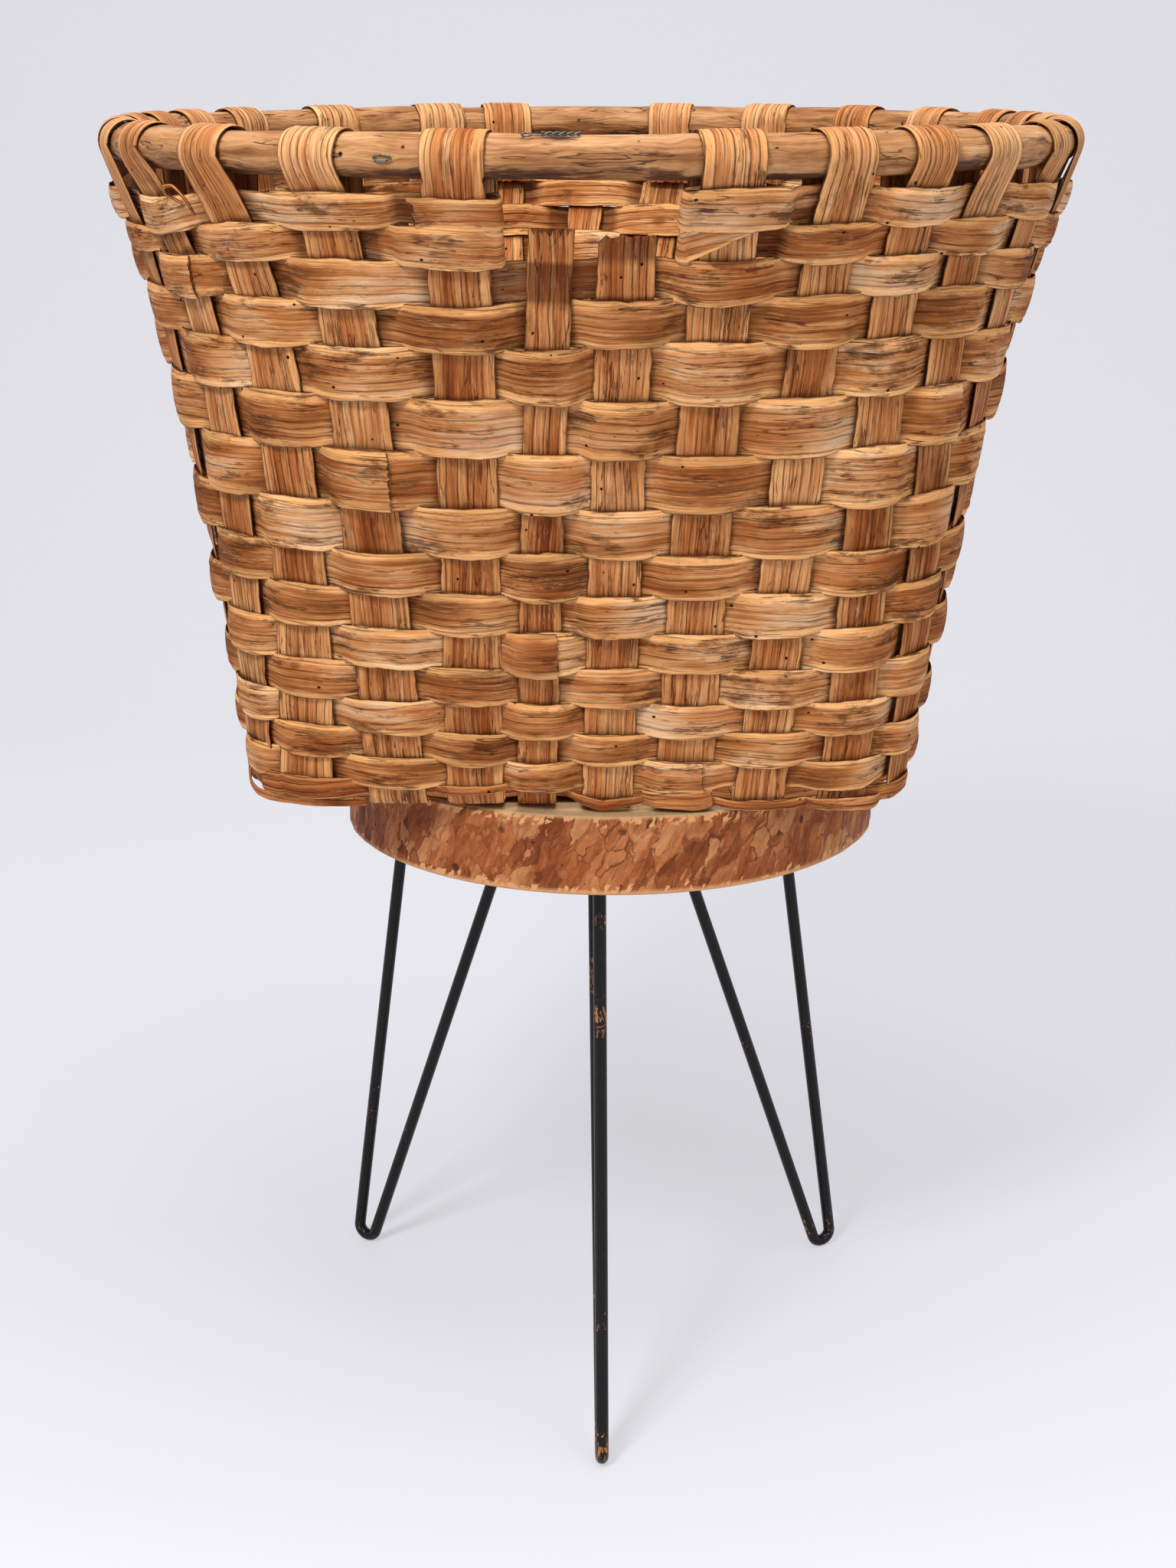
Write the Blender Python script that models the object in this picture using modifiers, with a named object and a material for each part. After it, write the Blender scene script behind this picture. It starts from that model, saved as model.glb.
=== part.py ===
"""A woven splint basket that stands on a round wood slab with three hairpin legs.

Metres, +Z up. The origin is on the floor under the middle of the basket's rim, and the front is -Y.
Fifteen long splints cross in the floor, turn up as thirty stakes and fold over the rim pole.
Fifteen weaver rows run round the stakes, outside one and inside the next.
"""
import math

import bmesh
import bpy
from mathutils import Vector

# Stand: hairpin legs of round rod, their plates and the slab
SLAB_UNDERSIDE = 0.406
SLAB_RADIUS = 0.189
SLAB_THICKNESS = 0.054
SLAB_EDGE_ROUND = 0.003
SLAB_SIDE_OFFSET = 0.014
SLAB_SIDES = 48
ROD_DIAMETER = 0.009
FOOT_BEND_RADIUS = 0.008
FOOT_CIRCLE_RADIUS = 0.214
ROD_TOP_INNER = 0.062
ROD_TOP_OUTER = 0.162
ROD_TIP = 0.006
LEG_BEARINGS = {"front": 272.0, "right": 28.5, "left": 148.5}
PLATE_WIDTH = 0.020
PLATE_THICKNESS = 0.003
PLATE_END_MARGIN = 0.011
PLATE_CORNER_ROUND = 0.004
SCREW_HEAD_DIAMETER = 0.009
SCREW_HEAD_HEIGHT = 0.0022
SCREW_HEAD_TAPER = 0.7
SCREW_INSET = 0.026

# Basket: overall form
RIM_HEIGHT = 0.880
RIM_RADIUS = 0.311
POLE_DIAMETER = 0.026
BASE_HALF_WIDTH = 0.2205
BASE_HALF_DEPTH = 0.173
BASE_SQUARENESS = 6.0
ROUNDING_POWER = 1.7
EVEN_FLARE = 0.634
FLARE_POWER = 3
BASE_SIDE_SHIFT = -0.008

# Splints: the long ones that cross in the floor, and the weavers round the wall
SPLINT_THICKNESS = 0.0018
CROSSING_GAP = 0.0004
SEAT_GAP = 0.0003
OUTER_STAKE_INSET_WIDTH = 0.0434
OUTER_STAKE_INSET_DEPTH = 0.035
FRONT_BACK_WIDTHS = (0.038, 0.038, 0.037, 0.026, 0.033, 0.037, 0.033, 0.034)
SIDE_WIDTHS = (0.034, 0.035, 0.034, 0.035, 0.034, 0.035, 0.034)
# How far to the right of even spacing each front-to-back splint lies
FRONT_BACK_SHIFTS = (-0.0020, 0.0090, 0.0088, -0.0021, -0.0071, -0.0081, -0.0094, -0.0051)
CROSSING_MARGIN = 0.0012
TURN_UP = 0.005
FIRST_ROW_RISE = 0.018
ROW_WIDTHS = (0.020, 0.020, 0.022, 0.024, 0.025, 0.025, 0.026, 0.030,
              0.034, 0.033, 0.029, 0.026, 0.021, 0.019, 0.019)
TOP_ROW_DROP = 0.0256
ROW_GAP = 0.0014
TAIL_LENGTH = 0.045
LAP_STEP = 7
LAP_ROW_IN_FRONT = 8
LAP_STAKE_IN_FRONT = 1
TORN_END = 0.010

# Where each stake crosses the rim, in degrees from the front, counter-clockwise seen from above
FRONT_RIM_ANGLES = (-45.1, -29.7, -13.8, -3.6, 3.8, 14.1, 26.9, 37.7)
RIGHT_RIM_ANGLES = (48.9, 63.0, 73.5, 82.5, 91.5, 100.5, 110.0)
BACK_RIM_ANGLES = (124.5, 138.3, 153.1, 168.0, 179.0, 192.6, 202.9, 220.3)
LEFT_RIM_ANGLES = (237.0, 248.5, 258.5, 268.5, 278.5, 288.5, 299.5)
# Stakes at the front left corner bow towards the front, by these degrees halfway up
STAKE_BOWS = {0: 3.6, 28: 1.5, 29: 3.5}
# The fold pulls these stakes sideways just below the rim, by these degrees, more strongly with height
FOLD_PULLS = {0: -2.8, 1: -2.4, 2: -0.6, 5: 0.5, 6: 1.3, 7: 2.7, 8: 4.3, 9: 6.0, 28: -5.0, 29: -6.5}
PULL_POWER = 8

# Damage that the basket shows: how far below the rim's middle stakes are broken off,
# and the gap in the top two rows
BREAK_DROPS = {3: 0.039, 4: 0.044, 19: 0.056}
TORN_ROWS = 2
TORN_RUN_START = 5
TORN_RUN_END = 2
SLIPPED_CROSSINGS = {(12, 3)}
POLE_JOINT_STAKES = (10, 25)

# Faces round a half turn over the pole
WRAP_FACETS = 4
FOOT_BEND_POINTS = 4
FOOT_BEND_STEP = math.radians(36)
ROUND_SIDES = 8
HALF_SIDE = math.pi / ROUND_SIDES
SHARP_ANGLE = math.radians(35)
UP = Vector((0, 0, 1))

# Sizes that follow from those above
ROD_RADIUS = ROD_DIAMETER / 2
FOOT_FLAT_DEPTH = ROD_RADIUS * math.cos(HALF_SIDE) * math.cos(FOOT_BEND_STEP / 2)
POLE_RADIUS = POLE_DIAMETER / 2
SLAB_TOP = SLAB_UNDERSIDE + SLAB_THICKNESS
WEAVE_OFFSET = SPLINT_THICKNESS + CROSSING_GAP
FLOOR_HEIGHT = SLAB_TOP + SEAT_GAP + WEAVE_OFFSET + SPLINT_THICKNESS / 2
WRAP_RADIUS = (POLE_RADIUS + CROSSING_GAP + SPLINT_THICKNESS / 2) / math.cos(math.pi / WRAP_FACETS / 2)
ROW_COUNT = len(ROW_WIDTHS)
FRONT_BACK_COUNT = len(FRONT_BACK_WIDTHS)
SIDE_COUNT = len(SIDE_WIDTHS)
FRONT_BACK_PITCH = 2 * (BASE_HALF_WIDTH - OUTER_STAKE_INSET_WIDTH) / (FRONT_BACK_COUNT - 1)
SIDE_PITCH = 2 * (BASE_HALF_DEPTH - OUTER_STAKE_INSET_DEPTH) / (SIDE_COUNT - 1)


def clear_scene():
    """Remove whatever the file holds, and start the collection of parts."""
    for old in list(bpy.data.objects):
        bpy.data.objects.remove(old)
    parts = bpy.data.collections.new("woven_basket_on_stand")
    bpy.context.scene.collection.children.link(parts)
    return parts


def finish_material(name, color, roughness, metallic=0.0):
    """A plain Principled finish for one part."""
    material = bpy.data.materials.new(name)
    material.use_nodes = True
    shader = material.node_tree.nodes["Principled BSDF"]
    shader.inputs["Base Color"].default_value = (*color, 1.0)
    shader.inputs["Roughness"].default_value = roughness
    shader.inputs["Metallic"].default_value = metallic
    material.diffuse_color = (*color, 1.0)
    return material


def add_object(name, data, material, location=(0, 0, 0), rotation=(0, 0, 0)):
    """Link a mesh or curve as a named part."""
    part = bpy.data.objects.new(name, data)
    data.materials.append(material)
    part.location = location
    part.rotation_euler = rotation
    PARTS.objects.link(part)
    return part


# Stand

def tangent_point(centre, radius, outside, side):
    """The point where a line from outside touches a circle, in the plane of a leg."""
    away = outside - centre
    turn = side * math.acos(radius / away.length)
    touch = away.normalized() * radius
    return centre + Vector((touch.x * math.cos(turn) - touch.y * math.sin(turn),
                            touch.x * math.sin(turn) + touch.y * math.cos(turn)))


def hairpin_path():
    """The rod's middle line as (distance from the stand's middle, height), with both tips upright."""
    top = SLAB_UNDERSIDE - SEAT_GAP - PLATE_THICKNESS - SEAT_GAP
    centre = Vector((FOOT_CIRCLE_RADIUS, FOOT_FLAT_DEPTH + FOOT_BEND_RADIUS))
    tip = Vector((0, ROD_TIP))
    outer_top = Vector((ROD_TOP_OUTER, top)) - tip
    inner_top = Vector((ROD_TOP_INNER, top)) - tip
    outer_touch = tangent_point(centre, FOOT_BEND_RADIUS, outer_top, -1)
    inner_touch = tangent_point(centre, FOOT_BEND_RADIUS, inner_top, 1)
    stretch = FOOT_BEND_RADIUS / math.cos(FOOT_BEND_STEP / 2)
    points = [outer_top + tip, outer_top, outer_touch]
    for step in range(FOOT_BEND_POINTS):
        angle = FOOT_BEND_STEP * ((FOOT_BEND_POINTS - 1) / 2 - step) - math.pi / 2
        points.append(centre + stretch * Vector((math.cos(angle), math.sin(angle))))
    return points + [inner_touch, inner_top, inner_top + tip]


def add_round_bar(name, path, radius, material, rotation=(0, 0, 0), turn=0):
    """A round bar along a path, with its section turned about the path."""
    curve = bpy.data.curves.new(name, "CURVE")
    curve.dimensions = "3D"
    curve.bevel_depth = radius
    curve.bevel_resolution = ROUND_SIDES // 2 - 2
    curve.use_fill_caps = True
    spline = curve.splines.new("POLY")
    spline.points.add(len(path) - 1)
    for point, place in zip(spline.points, path):
        point.co = (*place, 1)
        point.tilt = turn
    return add_object(name, curve, material, rotation=rotation)


def build_legs():
    """Three legs, each one rod bent back at the foot, with a flat of its section on the floor."""
    path = [(out, 0, height) for out, height in hairpin_path()]
    for side, bearing in LEG_BEARINGS.items():
        material = finish_material(f"black_paint_{side}", (0.012, 0.011, 0.011), 0.28)
        heading = (0, 0, math.radians(bearing))
        add_round_bar(f"leg_{side}", path, ROD_RADIUS, material, rotation=heading, turn=HALF_SIDE)


def build_leg_plates():
    """A flat steel plate over the two rod ends of each leg, against the slab."""
    first = ROD_TOP_INNER - PLATE_END_MARGIN
    last = ROD_TOP_OUTER + PLATE_END_MARGIN
    for side, bearing in LEG_BEARINGS.items():
        material = finish_material(f"plate_paint_{side}", (0.014, 0.013, 0.012), 0.35)
        mesh = bpy.data.meshes.new(f"leg_plate_{side}")
        bm = bmesh.new()
        bmesh.ops.create_cube(bm, size=1)
        bmesh.ops.scale(bm, vec=(last - first, PLATE_WIDTH, PLATE_THICKNESS), verts=bm.verts)
        corners = [edge for edge in bm.edges if abs((edge.verts[0].co - edge.verts[1].co).z) > SEAT_GAP]
        bmesh.ops.bevel(bm, geom=corners, offset=PLATE_CORNER_ROUND, segments=2, affect="EDGES", profile=0.5)
        bm.to_mesh(mesh)
        bm.free()
        turn = math.radians(bearing)
        middle = (first + last) / 2
        height = SLAB_UNDERSIDE - SEAT_GAP - PLATE_THICKNESS / 2
        place = (middle * math.cos(turn), middle * math.sin(turn), height)
        add_object(f"leg_plate_{side}", mesh, material, location=place, rotation=(0, 0, turn))


def build_leg_screws():
    """Two screw heads under each plate, between the rod ends."""
    material = finish_material("screw_steel", (0.10, 0.095, 0.09), 0.4, 0.8)
    head_middle = SLAB_UNDERSIDE - 2 * SEAT_GAP - PLATE_THICKNESS - SCREW_HEAD_HEIGHT / 2
    for side, bearing in LEG_BEARINGS.items():
        turn = math.radians(bearing)
        for spot, out in (("inner", ROD_TOP_INNER + SCREW_INSET), ("outer", ROD_TOP_OUTER - SCREW_INSET)):
            mesh = bpy.data.meshes.new(f"leg_screw_{side}_{spot}")
            bm = bmesh.new()
            bmesh.ops.create_cone(bm, cap_ends=True, segments=8, depth=SCREW_HEAD_HEIGHT,
                                  radius1=SCREW_HEAD_TAPER * SCREW_HEAD_DIAMETER / 2, radius2=SCREW_HEAD_DIAMETER / 2)
            bm.to_mesh(mesh)
            bm.free()
            place = (out * math.cos(turn), out * math.sin(turn), head_middle)
            add_object(f"leg_screw_{side}_{spot}", mesh, material, location=place)


def build_slab():
    """The round slab that the basket stands on, with its two edges eased."""
    material = finish_material("slab_wood", (0.42, 0.20, 0.11), 0.55)
    mesh = bpy.data.meshes.new("slab")
    bm = bmesh.new()
    bmesh.ops.create_cone(bm, cap_ends=True, segments=SLAB_SIDES, depth=SLAB_THICKNESS,
                          radius1=SLAB_RADIUS, radius2=SLAB_RADIUS)
    bm.to_mesh(mesh)
    bm.free()
    slab = add_object("slab", mesh, material, location=(SLAB_SIDE_OFFSET, 0, SLAB_UNDERSIDE + SLAB_THICKNESS / 2))
    ease = slab.modifiers.new("eased_edges", "BEVEL")
    ease.width = SLAB_EDGE_ROUND
    ease.segments = 1
    ease.limit_method = "ANGLE"
    ease.angle_limit = SHARP_ANGLE
    mesh.shade_smooth()
    mesh.set_sharp_from_angle(angle=SHARP_ANGLE)


# Basket form

def base_outline_depth(x):
    """How far the base reaches forward at a distance x from its middle."""
    share = 1 - (abs(x) / BASE_HALF_WIDTH) ** BASE_SQUARENESS
    return BASE_HALF_DEPTH * share ** (1 / BASE_SQUARENESS)


def base_outline_width(y):
    """How far the base reaches sideways at a distance y from its middle."""
    share = 1 - (abs(y) / BASE_HALF_DEPTH) ** BASE_SQUARENESS
    return BASE_HALF_WIDTH * share ** (1 / BASE_SQUARENESS)


def wall_point(bearing, height):
    """Where the wall's middle surface stands at a bearing and a height."""
    rise = (height - FLOOR_HEIGHT) / (RIM_HEIGHT - FLOOR_HEIGHT)
    spread = EVEN_FLARE * rise + (1 - EVEN_FLARE) * rise ** FLARE_POWER
    top = RIM_RADIUS + WRAP_RADIUS
    half_width = BASE_HALF_WIDTH + (top - BASE_HALF_WIDTH) * spread
    half_depth = BASE_HALF_DEPTH + (top - BASE_HALF_DEPTH) * spread
    squareness = 2 + (BASE_SQUARENESS - 2) * max(0, 1 - rise) ** ROUNDING_POWER
    across = abs(math.cos(bearing) / half_width) ** squareness
    along = abs(math.sin(bearing) / half_depth) ** squareness
    radius = (across + along) ** (-1 / squareness)
    shift = BASE_SIDE_SHIFT * (1 - rise)
    return Vector((radius * math.cos(bearing) + shift, radius * math.sin(bearing), height))


def row_edges():
    """The heights between the weaver rows, which fill the wall from near the floor to under the rim."""
    heights = [FLOOR_HEIGHT + FIRST_ROW_RISE]
    fill = (RIM_HEIGHT - TOP_ROW_DROP - heights[0]) / sum(ROW_WIDTHS)
    for width in ROW_WIDTHS:
        heights.append(heights[-1] + width * fill)
    return heights


ROW_EDGES = row_edges()


def rim_bearings():
    """Each stake's bearing at the rim, in order round the basket."""
    degrees = FRONT_RIM_ANGLES + RIGHT_RIM_ANGLES + BACK_RIM_ANGLES + LEFT_RIM_ANGLES
    return [math.radians(angle - 90) for angle in degrees]


def pole_corners():
    """Bends of the rim pole, halfway between neighbouring stakes, so each stake wraps a straight run."""
    bearings = rim_bearings()
    corners = []
    for index, bearing in enumerate(bearings):
        following = bearings[(index + 1) % len(bearings)]
        if following < bearing:
            following += 2 * math.pi
        middle = (bearing + following) / 2
        corners.append(Vector((RIM_RADIUS * math.cos(middle), RIM_RADIUS * math.sin(middle), RIM_HEIGHT)))
    return corners


POLE_CORNERS = pole_corners()


class Stake:
    """One upright: half of a long splint, from the floor's edge to its tail inside the rim."""

    def __init__(self, index, place, width, base_point, base_across):
        self.index = index
        self.place = place
        self.width = width
        self.base_point = base_point
        self.base_across = base_across
        before = POLE_CORNERS[index - 1]
        after = POLE_CORNERS[index]
        bearing = rim_bearings()[index]
        self.rim_across = (after - before).normalized()
        self.rim_out = self.rim_across.cross(UP)
        toward = Vector((math.cos(bearing), math.sin(bearing), 0))
        reach = before.dot(self.rim_out) / toward.dot(self.rim_out)
        self.pole_point = Vector((toward.x * reach, toward.y * reach, RIM_HEIGHT))
        self.base_bearing = math.atan2(base_point.y, base_point.x)
        self.rim_bearing = bearing
        self.pull = math.radians(FOLD_PULLS.get(index, 0))
        turn = self.rim_bearing - self.pull - self.base_bearing
        self.turn = (turn + math.pi) % (2 * math.pi) - math.pi
        self.bow = math.radians(STAKE_BOWS.get(index, 0))

    def bearing_at(self, rise):
        """An even turn from the base to the rim, plus a bow that is widest halfway up and the fold's pull."""
        halfway_share = rise * (1 - rise) / 0.5 ** 2
        pulled = self.pull * max(0, rise) ** PULL_POWER
        return self.base_bearing + self.turn * rise + self.bow * halfway_share + pulled

    def across(self, rise):
        return (self.base_across * (1 - rise) + self.rim_across * rise).normalized()

    def edges_at(self, height):
        """The two side points of the stake at a height, clockwise side first."""
        rise = (height - FLOOR_HEIGHT) / (RIM_HEIGHT - FLOOR_HEIGHT)
        middle = wall_point(self.bearing_at(rise), height)
        half = self.across(rise) * self.width / 2
        return middle - half, middle + half

    def row_edges(self, row):
        """Side points at the lower and upper edge of a row's band."""
        return self.edges_at(ROW_EDGES[row]), self.edges_at(ROW_EDGES[row + 1])

    def edges(self):
        """Side points from the floor's edge up the wall, over the pole and down to the tail."""
        half = self.base_across * self.width / 2
        inward = self.base_across.cross(UP) * TURN_UP
        start = self.base_point + Vector((BASE_SIDE_SHIFT, 0, FLOOR_HEIGHT)) - inward
        pairs = [(start - half, start + half), self.edges_at(FLOOR_HEIGHT + TURN_UP)]
        stop = None
        if self.index in BREAK_DROPS:
            stop = RIM_HEIGHT - BREAK_DROPS[self.index]
        for height in ROW_EDGES:
            if stop is None or height < stop:
                pairs.append(self.edges_at(height))
        if stop is not None:
            pairs.append(self.edges_at(stop))
            return pairs
        half = self.rim_across * self.width / 2
        for facet in range(WRAP_FACETS + 1):
            turn = math.pi * facet / WRAP_FACETS
            lift = self.rim_out * (WRAP_RADIUS * math.cos(turn)) + UP * (WRAP_RADIUS * math.sin(turn))
            point = self.pole_point + lift
            pairs.append((point - half, point + half))
        tail = self.pole_point - self.rim_out * WRAP_RADIUS - UP * TAIL_LENGTH
        pairs.append((tail - half, tail + half))
        return pairs


def strip_places(count, pitch):
    """Middle lines of parallel strips, centred on the base."""
    return [(number - (count - 1) / 2) * pitch for number in range(count)]


def front_back_places():
    """Middle lines of the front-to-back splints, each a little off even spacing."""
    even = strip_places(FRONT_BACK_COUNT, FRONT_BACK_PITCH)
    return [place + shift for place, shift in zip(even, FRONT_BACK_SHIFTS)]


def make_stakes():
    """All stakes in order: front left to right, right side, back right to left, left side."""
    front_back = front_back_places()
    sideways = strip_places(SIDE_COUNT, SIDE_PITCH)
    ends = []
    for number, x in enumerate(front_back):
        ends.append((number, FRONT_BACK_WIDTHS[number], (x, -base_outline_depth(x)), (1, 0)))
    for number, y in enumerate(sideways):
        ends.append((number, SIDE_WIDTHS[number], (base_outline_width(y), y), (0, 1)))
    for number, x in reversed(list(enumerate(front_back))):
        ends.append((number, FRONT_BACK_WIDTHS[number], (x, base_outline_depth(x)), (-1, 0)))
    for number, y in reversed(list(enumerate(sideways))):
        ends.append((number, SIDE_WIDTHS[number], (-base_outline_width(y), y), (0, -1)))
    stakes = []
    for index, (number, width, point, across) in enumerate(ends):
        stakes.append(Stake(index, number, width, Vector((*point, 0)), Vector((*across, 0))))
    return stakes


STAKES = make_stakes()


# Splints

def add_splint(name, pairs, material):
    """A flat splint: a grid bent to its pairs of side points and thickened."""
    mesh = bpy.data.meshes.new(name)
    bm = bmesh.new()
    bmesh.ops.create_grid(bm, x_segments=len(pairs) - 1, y_segments=1, size=1)
    bm.verts.ensure_lookup_table()
    for side in (0, 1):
        for station, pair in enumerate(pairs):
            bm.verts[side * len(pairs) + station].co = pair[side]
    bmesh.ops.triangulate(bm, faces=bm.faces, quad_method="FIXED")
    bm.to_mesh(mesh)
    bm.free()
    splint = add_object(name, mesh, material)
    thicken = splint.modifiers.new("thickness", "SOLIDIFY")
    thicken.thickness = SPLINT_THICKNESS
    thicken.offset = 0
    thicken.use_even_offset = True
    return splint


def flipped(pairs):
    return [(second, first) for first, second in pairs]


def build_front_back_stakes():
    """Eight splints that lie flat in the floor from front to back and turn up at both ends."""
    for number in range(FRONT_BACK_COUNT):
        front = STAKES[number]
        back = STAKES[FRONT_BACK_COUNT + SIDE_COUNT + FRONT_BACK_COUNT - 1 - number]
        tone = 0.30 + 0.02 * (number % 3)
        material = finish_material(f"splint_front_back_{number + 1}", (tone, tone * 0.55, tone * 0.27), 0.62)
        pairs = flipped(front.edges())[::-1] + back.edges()
        add_splint(f"front_back_stake_{number + 1}", pairs, material)


def floor_crossings(number):
    """Side points of a sideways splint where it passes over and under the front-to-back ones."""
    y = strip_places(SIDE_COUNT, SIDE_PITCH)[number]
    half = SIDE_WIDTHS[number] / 2
    pairs = []
    for crossed, x in enumerate(front_back_places()):
        lies_on_top = (crossed + number) % 2 == 1
        height = FLOOR_HEIGHT + (WEAVE_OFFSET if lies_on_top else -WEAVE_OFFSET)
        reach = FRONT_BACK_WIDTHS[crossed] / 2 + CROSSING_MARGIN
        for end in (x - reach, x + reach):
            across = end + BASE_SIDE_SHIFT
            pairs.append((Vector((across, y - half, height)), Vector((across, y + half, height))))
    return pairs


def build_side_stakes():
    """Seven splints woven through the others in the floor from side to side, turned up at both ends."""
    for number in range(SIDE_COUNT):
        right = STAKES[FRONT_BACK_COUNT + number]
        left = STAKES[len(STAKES) - 1 - number]
        tone = 0.27 + 0.02 * (number % 3)
        material = finish_material(f"splint_side_{number + 1}", (tone, tone * 0.53, tone * 0.26), 0.62)
        pairs = flipped(left.edges())[::-1] + floor_crossings(number) + right.edges()
        add_splint(f"side_stake_{number + 1}", pairs, material)


def crossing(row, index, layer=0):
    """A weaver's side points where it starts and ends its pass across a stake."""
    stake = STAKES[index]
    (low_left, low_right), (high_left, high_right) = stake.row_edges(row)
    outside = (row + index) % 2 == 1 and (row, index) not in SLIPPED_CROSSINGS
    rise = (high_left + high_right - low_left - low_right).normalized()
    run = (low_right + high_right - low_left - high_left).normalized()
    outward = run.cross(rise).normalized()
    offset = outward * (WEAVE_OFFSET + layer * (SPLINT_THICKNESS + CROSSING_GAP))
    if not outside:
        offset = -offset
    trim = ROW_GAP / 2 / (ROW_EDGES[row + 1] - ROW_EDGES[row])
    stretch = CROSSING_MARGIN / stake.width
    corners = []
    for left, right in ((low_left.lerp(high_left, trim), low_right.lerp(high_right, trim)),
                        (low_left.lerp(high_left, 1 - trim), low_right.lerp(high_right, 1 - trim))):
        corners.append((left.lerp(right, -stretch) + offset, left.lerp(right, 1 + stretch) + offset))
    (low_start, low_end), (high_start, high_end) = corners
    return [(low_start, high_start), (low_end, high_end)]


def torn_end(pairs, last):
    """The torn tip of a weaver, a little past the stake that it still holds to."""
    here, before = (pairs[-1], pairs[-2]) if last else (pairs[0], pairs[1])
    tip = []
    for point, previous in zip(here, before):
        tip.append(point + (point - previous).normalized() * TORN_END)
    return tuple(tip)


def weaver_pairs(row):
    """A weaver's side points once round the wall."""
    count = len(STAKES)
    pairs = []
    if row >= ROW_COUNT - TORN_ROWS:
        for step in range((TORN_RUN_END - TORN_RUN_START) % count + 1):
            pairs += crossing(row, (TORN_RUN_START + step) % count)
        return [torn_end(pairs, False)] + pairs + [torn_end(pairs, True)]
    start = (LAP_STAKE_IN_FRONT + LAP_STEP * (row - LAP_ROW_IN_FRONT)) % count
    for step in range(count):
        pairs += crossing(row, (start + step) % count)
    return pairs + crossing(row, start, layer=1)


def build_weavers():
    """Fifteen weaver rows, each lapped over its own start on one stake."""
    for row in range(ROW_COUNT):
        tone = 0.34 + 0.025 * (row % 4)
        material = finish_material(f"weaver_{row + 1:02d}", (tone, tone * 0.56, tone * 0.27), 0.6)
        add_splint(f"weaver_row_{row + 1:02d}", weaver_pairs(row), material)


def build_rim_poles():
    """Two bent poles that meet end to end under a stake's fold on each side."""
    first, second = POLE_JOINT_STAKES
    count = len(STAKES)
    runs = {"rim_pole_front": (second, first), "rim_pole_back": (first, second)}
    for name, (begin, end) in runs.items():
        material = finish_material(name, (0.25, 0.14, 0.075), 0.5)
        start = STAKES[begin].pole_point + STAKES[begin].rim_across * SEAT_GAP
        finish = STAKES[end].pole_point - STAKES[end].rim_across * SEAT_GAP
        path = [start]
        for step in range((end - begin) % count):
            path.append(POLE_CORNERS[(begin + step) % count])
        path.append(finish)
        add_round_bar(name, path, POLE_RADIUS, material)


PARTS = clear_scene()
build_slab()
build_legs()
build_leg_plates()
build_leg_screws()
build_front_back_stakes()
build_side_stakes()
build_weavers()
build_rim_poles()
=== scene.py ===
# %% [markdown]
# # A woven splint basket on a hairpin-leg stand
# The basket is thirty uprights, called stakes, and fifteen weaver rows, all split from wood with the grain.
# Its rim is a round pole that the stakes fold over. It stands on a slice of a trunk with three steel legs.
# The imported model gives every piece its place. This script gives each one its real surface.
# %% Load the model and note its box
import math

import bpy
import numpy as np
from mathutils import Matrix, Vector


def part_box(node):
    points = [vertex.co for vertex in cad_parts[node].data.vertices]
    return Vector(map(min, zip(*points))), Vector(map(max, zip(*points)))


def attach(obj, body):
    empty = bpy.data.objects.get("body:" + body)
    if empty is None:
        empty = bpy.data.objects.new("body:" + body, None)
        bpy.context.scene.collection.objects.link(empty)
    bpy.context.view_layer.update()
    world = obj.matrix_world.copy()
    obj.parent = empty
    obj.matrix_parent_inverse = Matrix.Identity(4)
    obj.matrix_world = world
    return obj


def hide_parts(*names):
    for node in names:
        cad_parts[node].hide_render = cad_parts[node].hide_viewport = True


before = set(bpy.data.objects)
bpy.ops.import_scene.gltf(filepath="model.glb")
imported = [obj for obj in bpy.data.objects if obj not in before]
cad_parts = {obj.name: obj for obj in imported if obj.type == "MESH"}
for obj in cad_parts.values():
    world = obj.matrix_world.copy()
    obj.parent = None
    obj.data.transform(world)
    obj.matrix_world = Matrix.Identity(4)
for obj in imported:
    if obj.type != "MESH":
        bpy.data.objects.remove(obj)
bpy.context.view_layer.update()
slab_low, slab_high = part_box("slab")
pole_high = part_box("rim_pole_front")[1]

# %% [markdown]
# ## The camera
# The photograph was taken from a little over the rim, looking down at the stand, with a long lens.
# The rim's two ellipses and the three feet fix where the camera stood and how far it leaned down.
# %% Put the camera where the photograph was taken
CAMERA_PLACE = (-0.002, -1.680, 0.939)
CAMERA_LEAN = 17
FOCAL_PIXELS = 3158
PICTURE_HEIGHT = 2048
SENSOR_HEIGHT = 36


def put_in_scene(name, data):
    """A new object in the scene, with this camera, mesh or lamp as its data."""
    made = bpy.data.objects.new(name, data)
    bpy.context.scene.collection.objects.link(made)
    return made


camera = put_in_scene("camera", bpy.data.cameras.new("camera"))
camera.location = CAMERA_PLACE
camera.rotation_euler = (math.radians(90 - CAMERA_LEAN), 0, 0)
camera.data.sensor_fit = "VERTICAL"
camera.data.sensor_height = SENSOR_HEIGHT
camera.data.lens = FOCAL_PIXELS / PICTURE_HEIGHT * SENSOR_HEIGHT
bpy.context.scene.camera = camera
bpy.context.scene.view_settings.view_transform = "Standard"
print("lens, millimetres:", round(camera.data.lens, 1))

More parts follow.
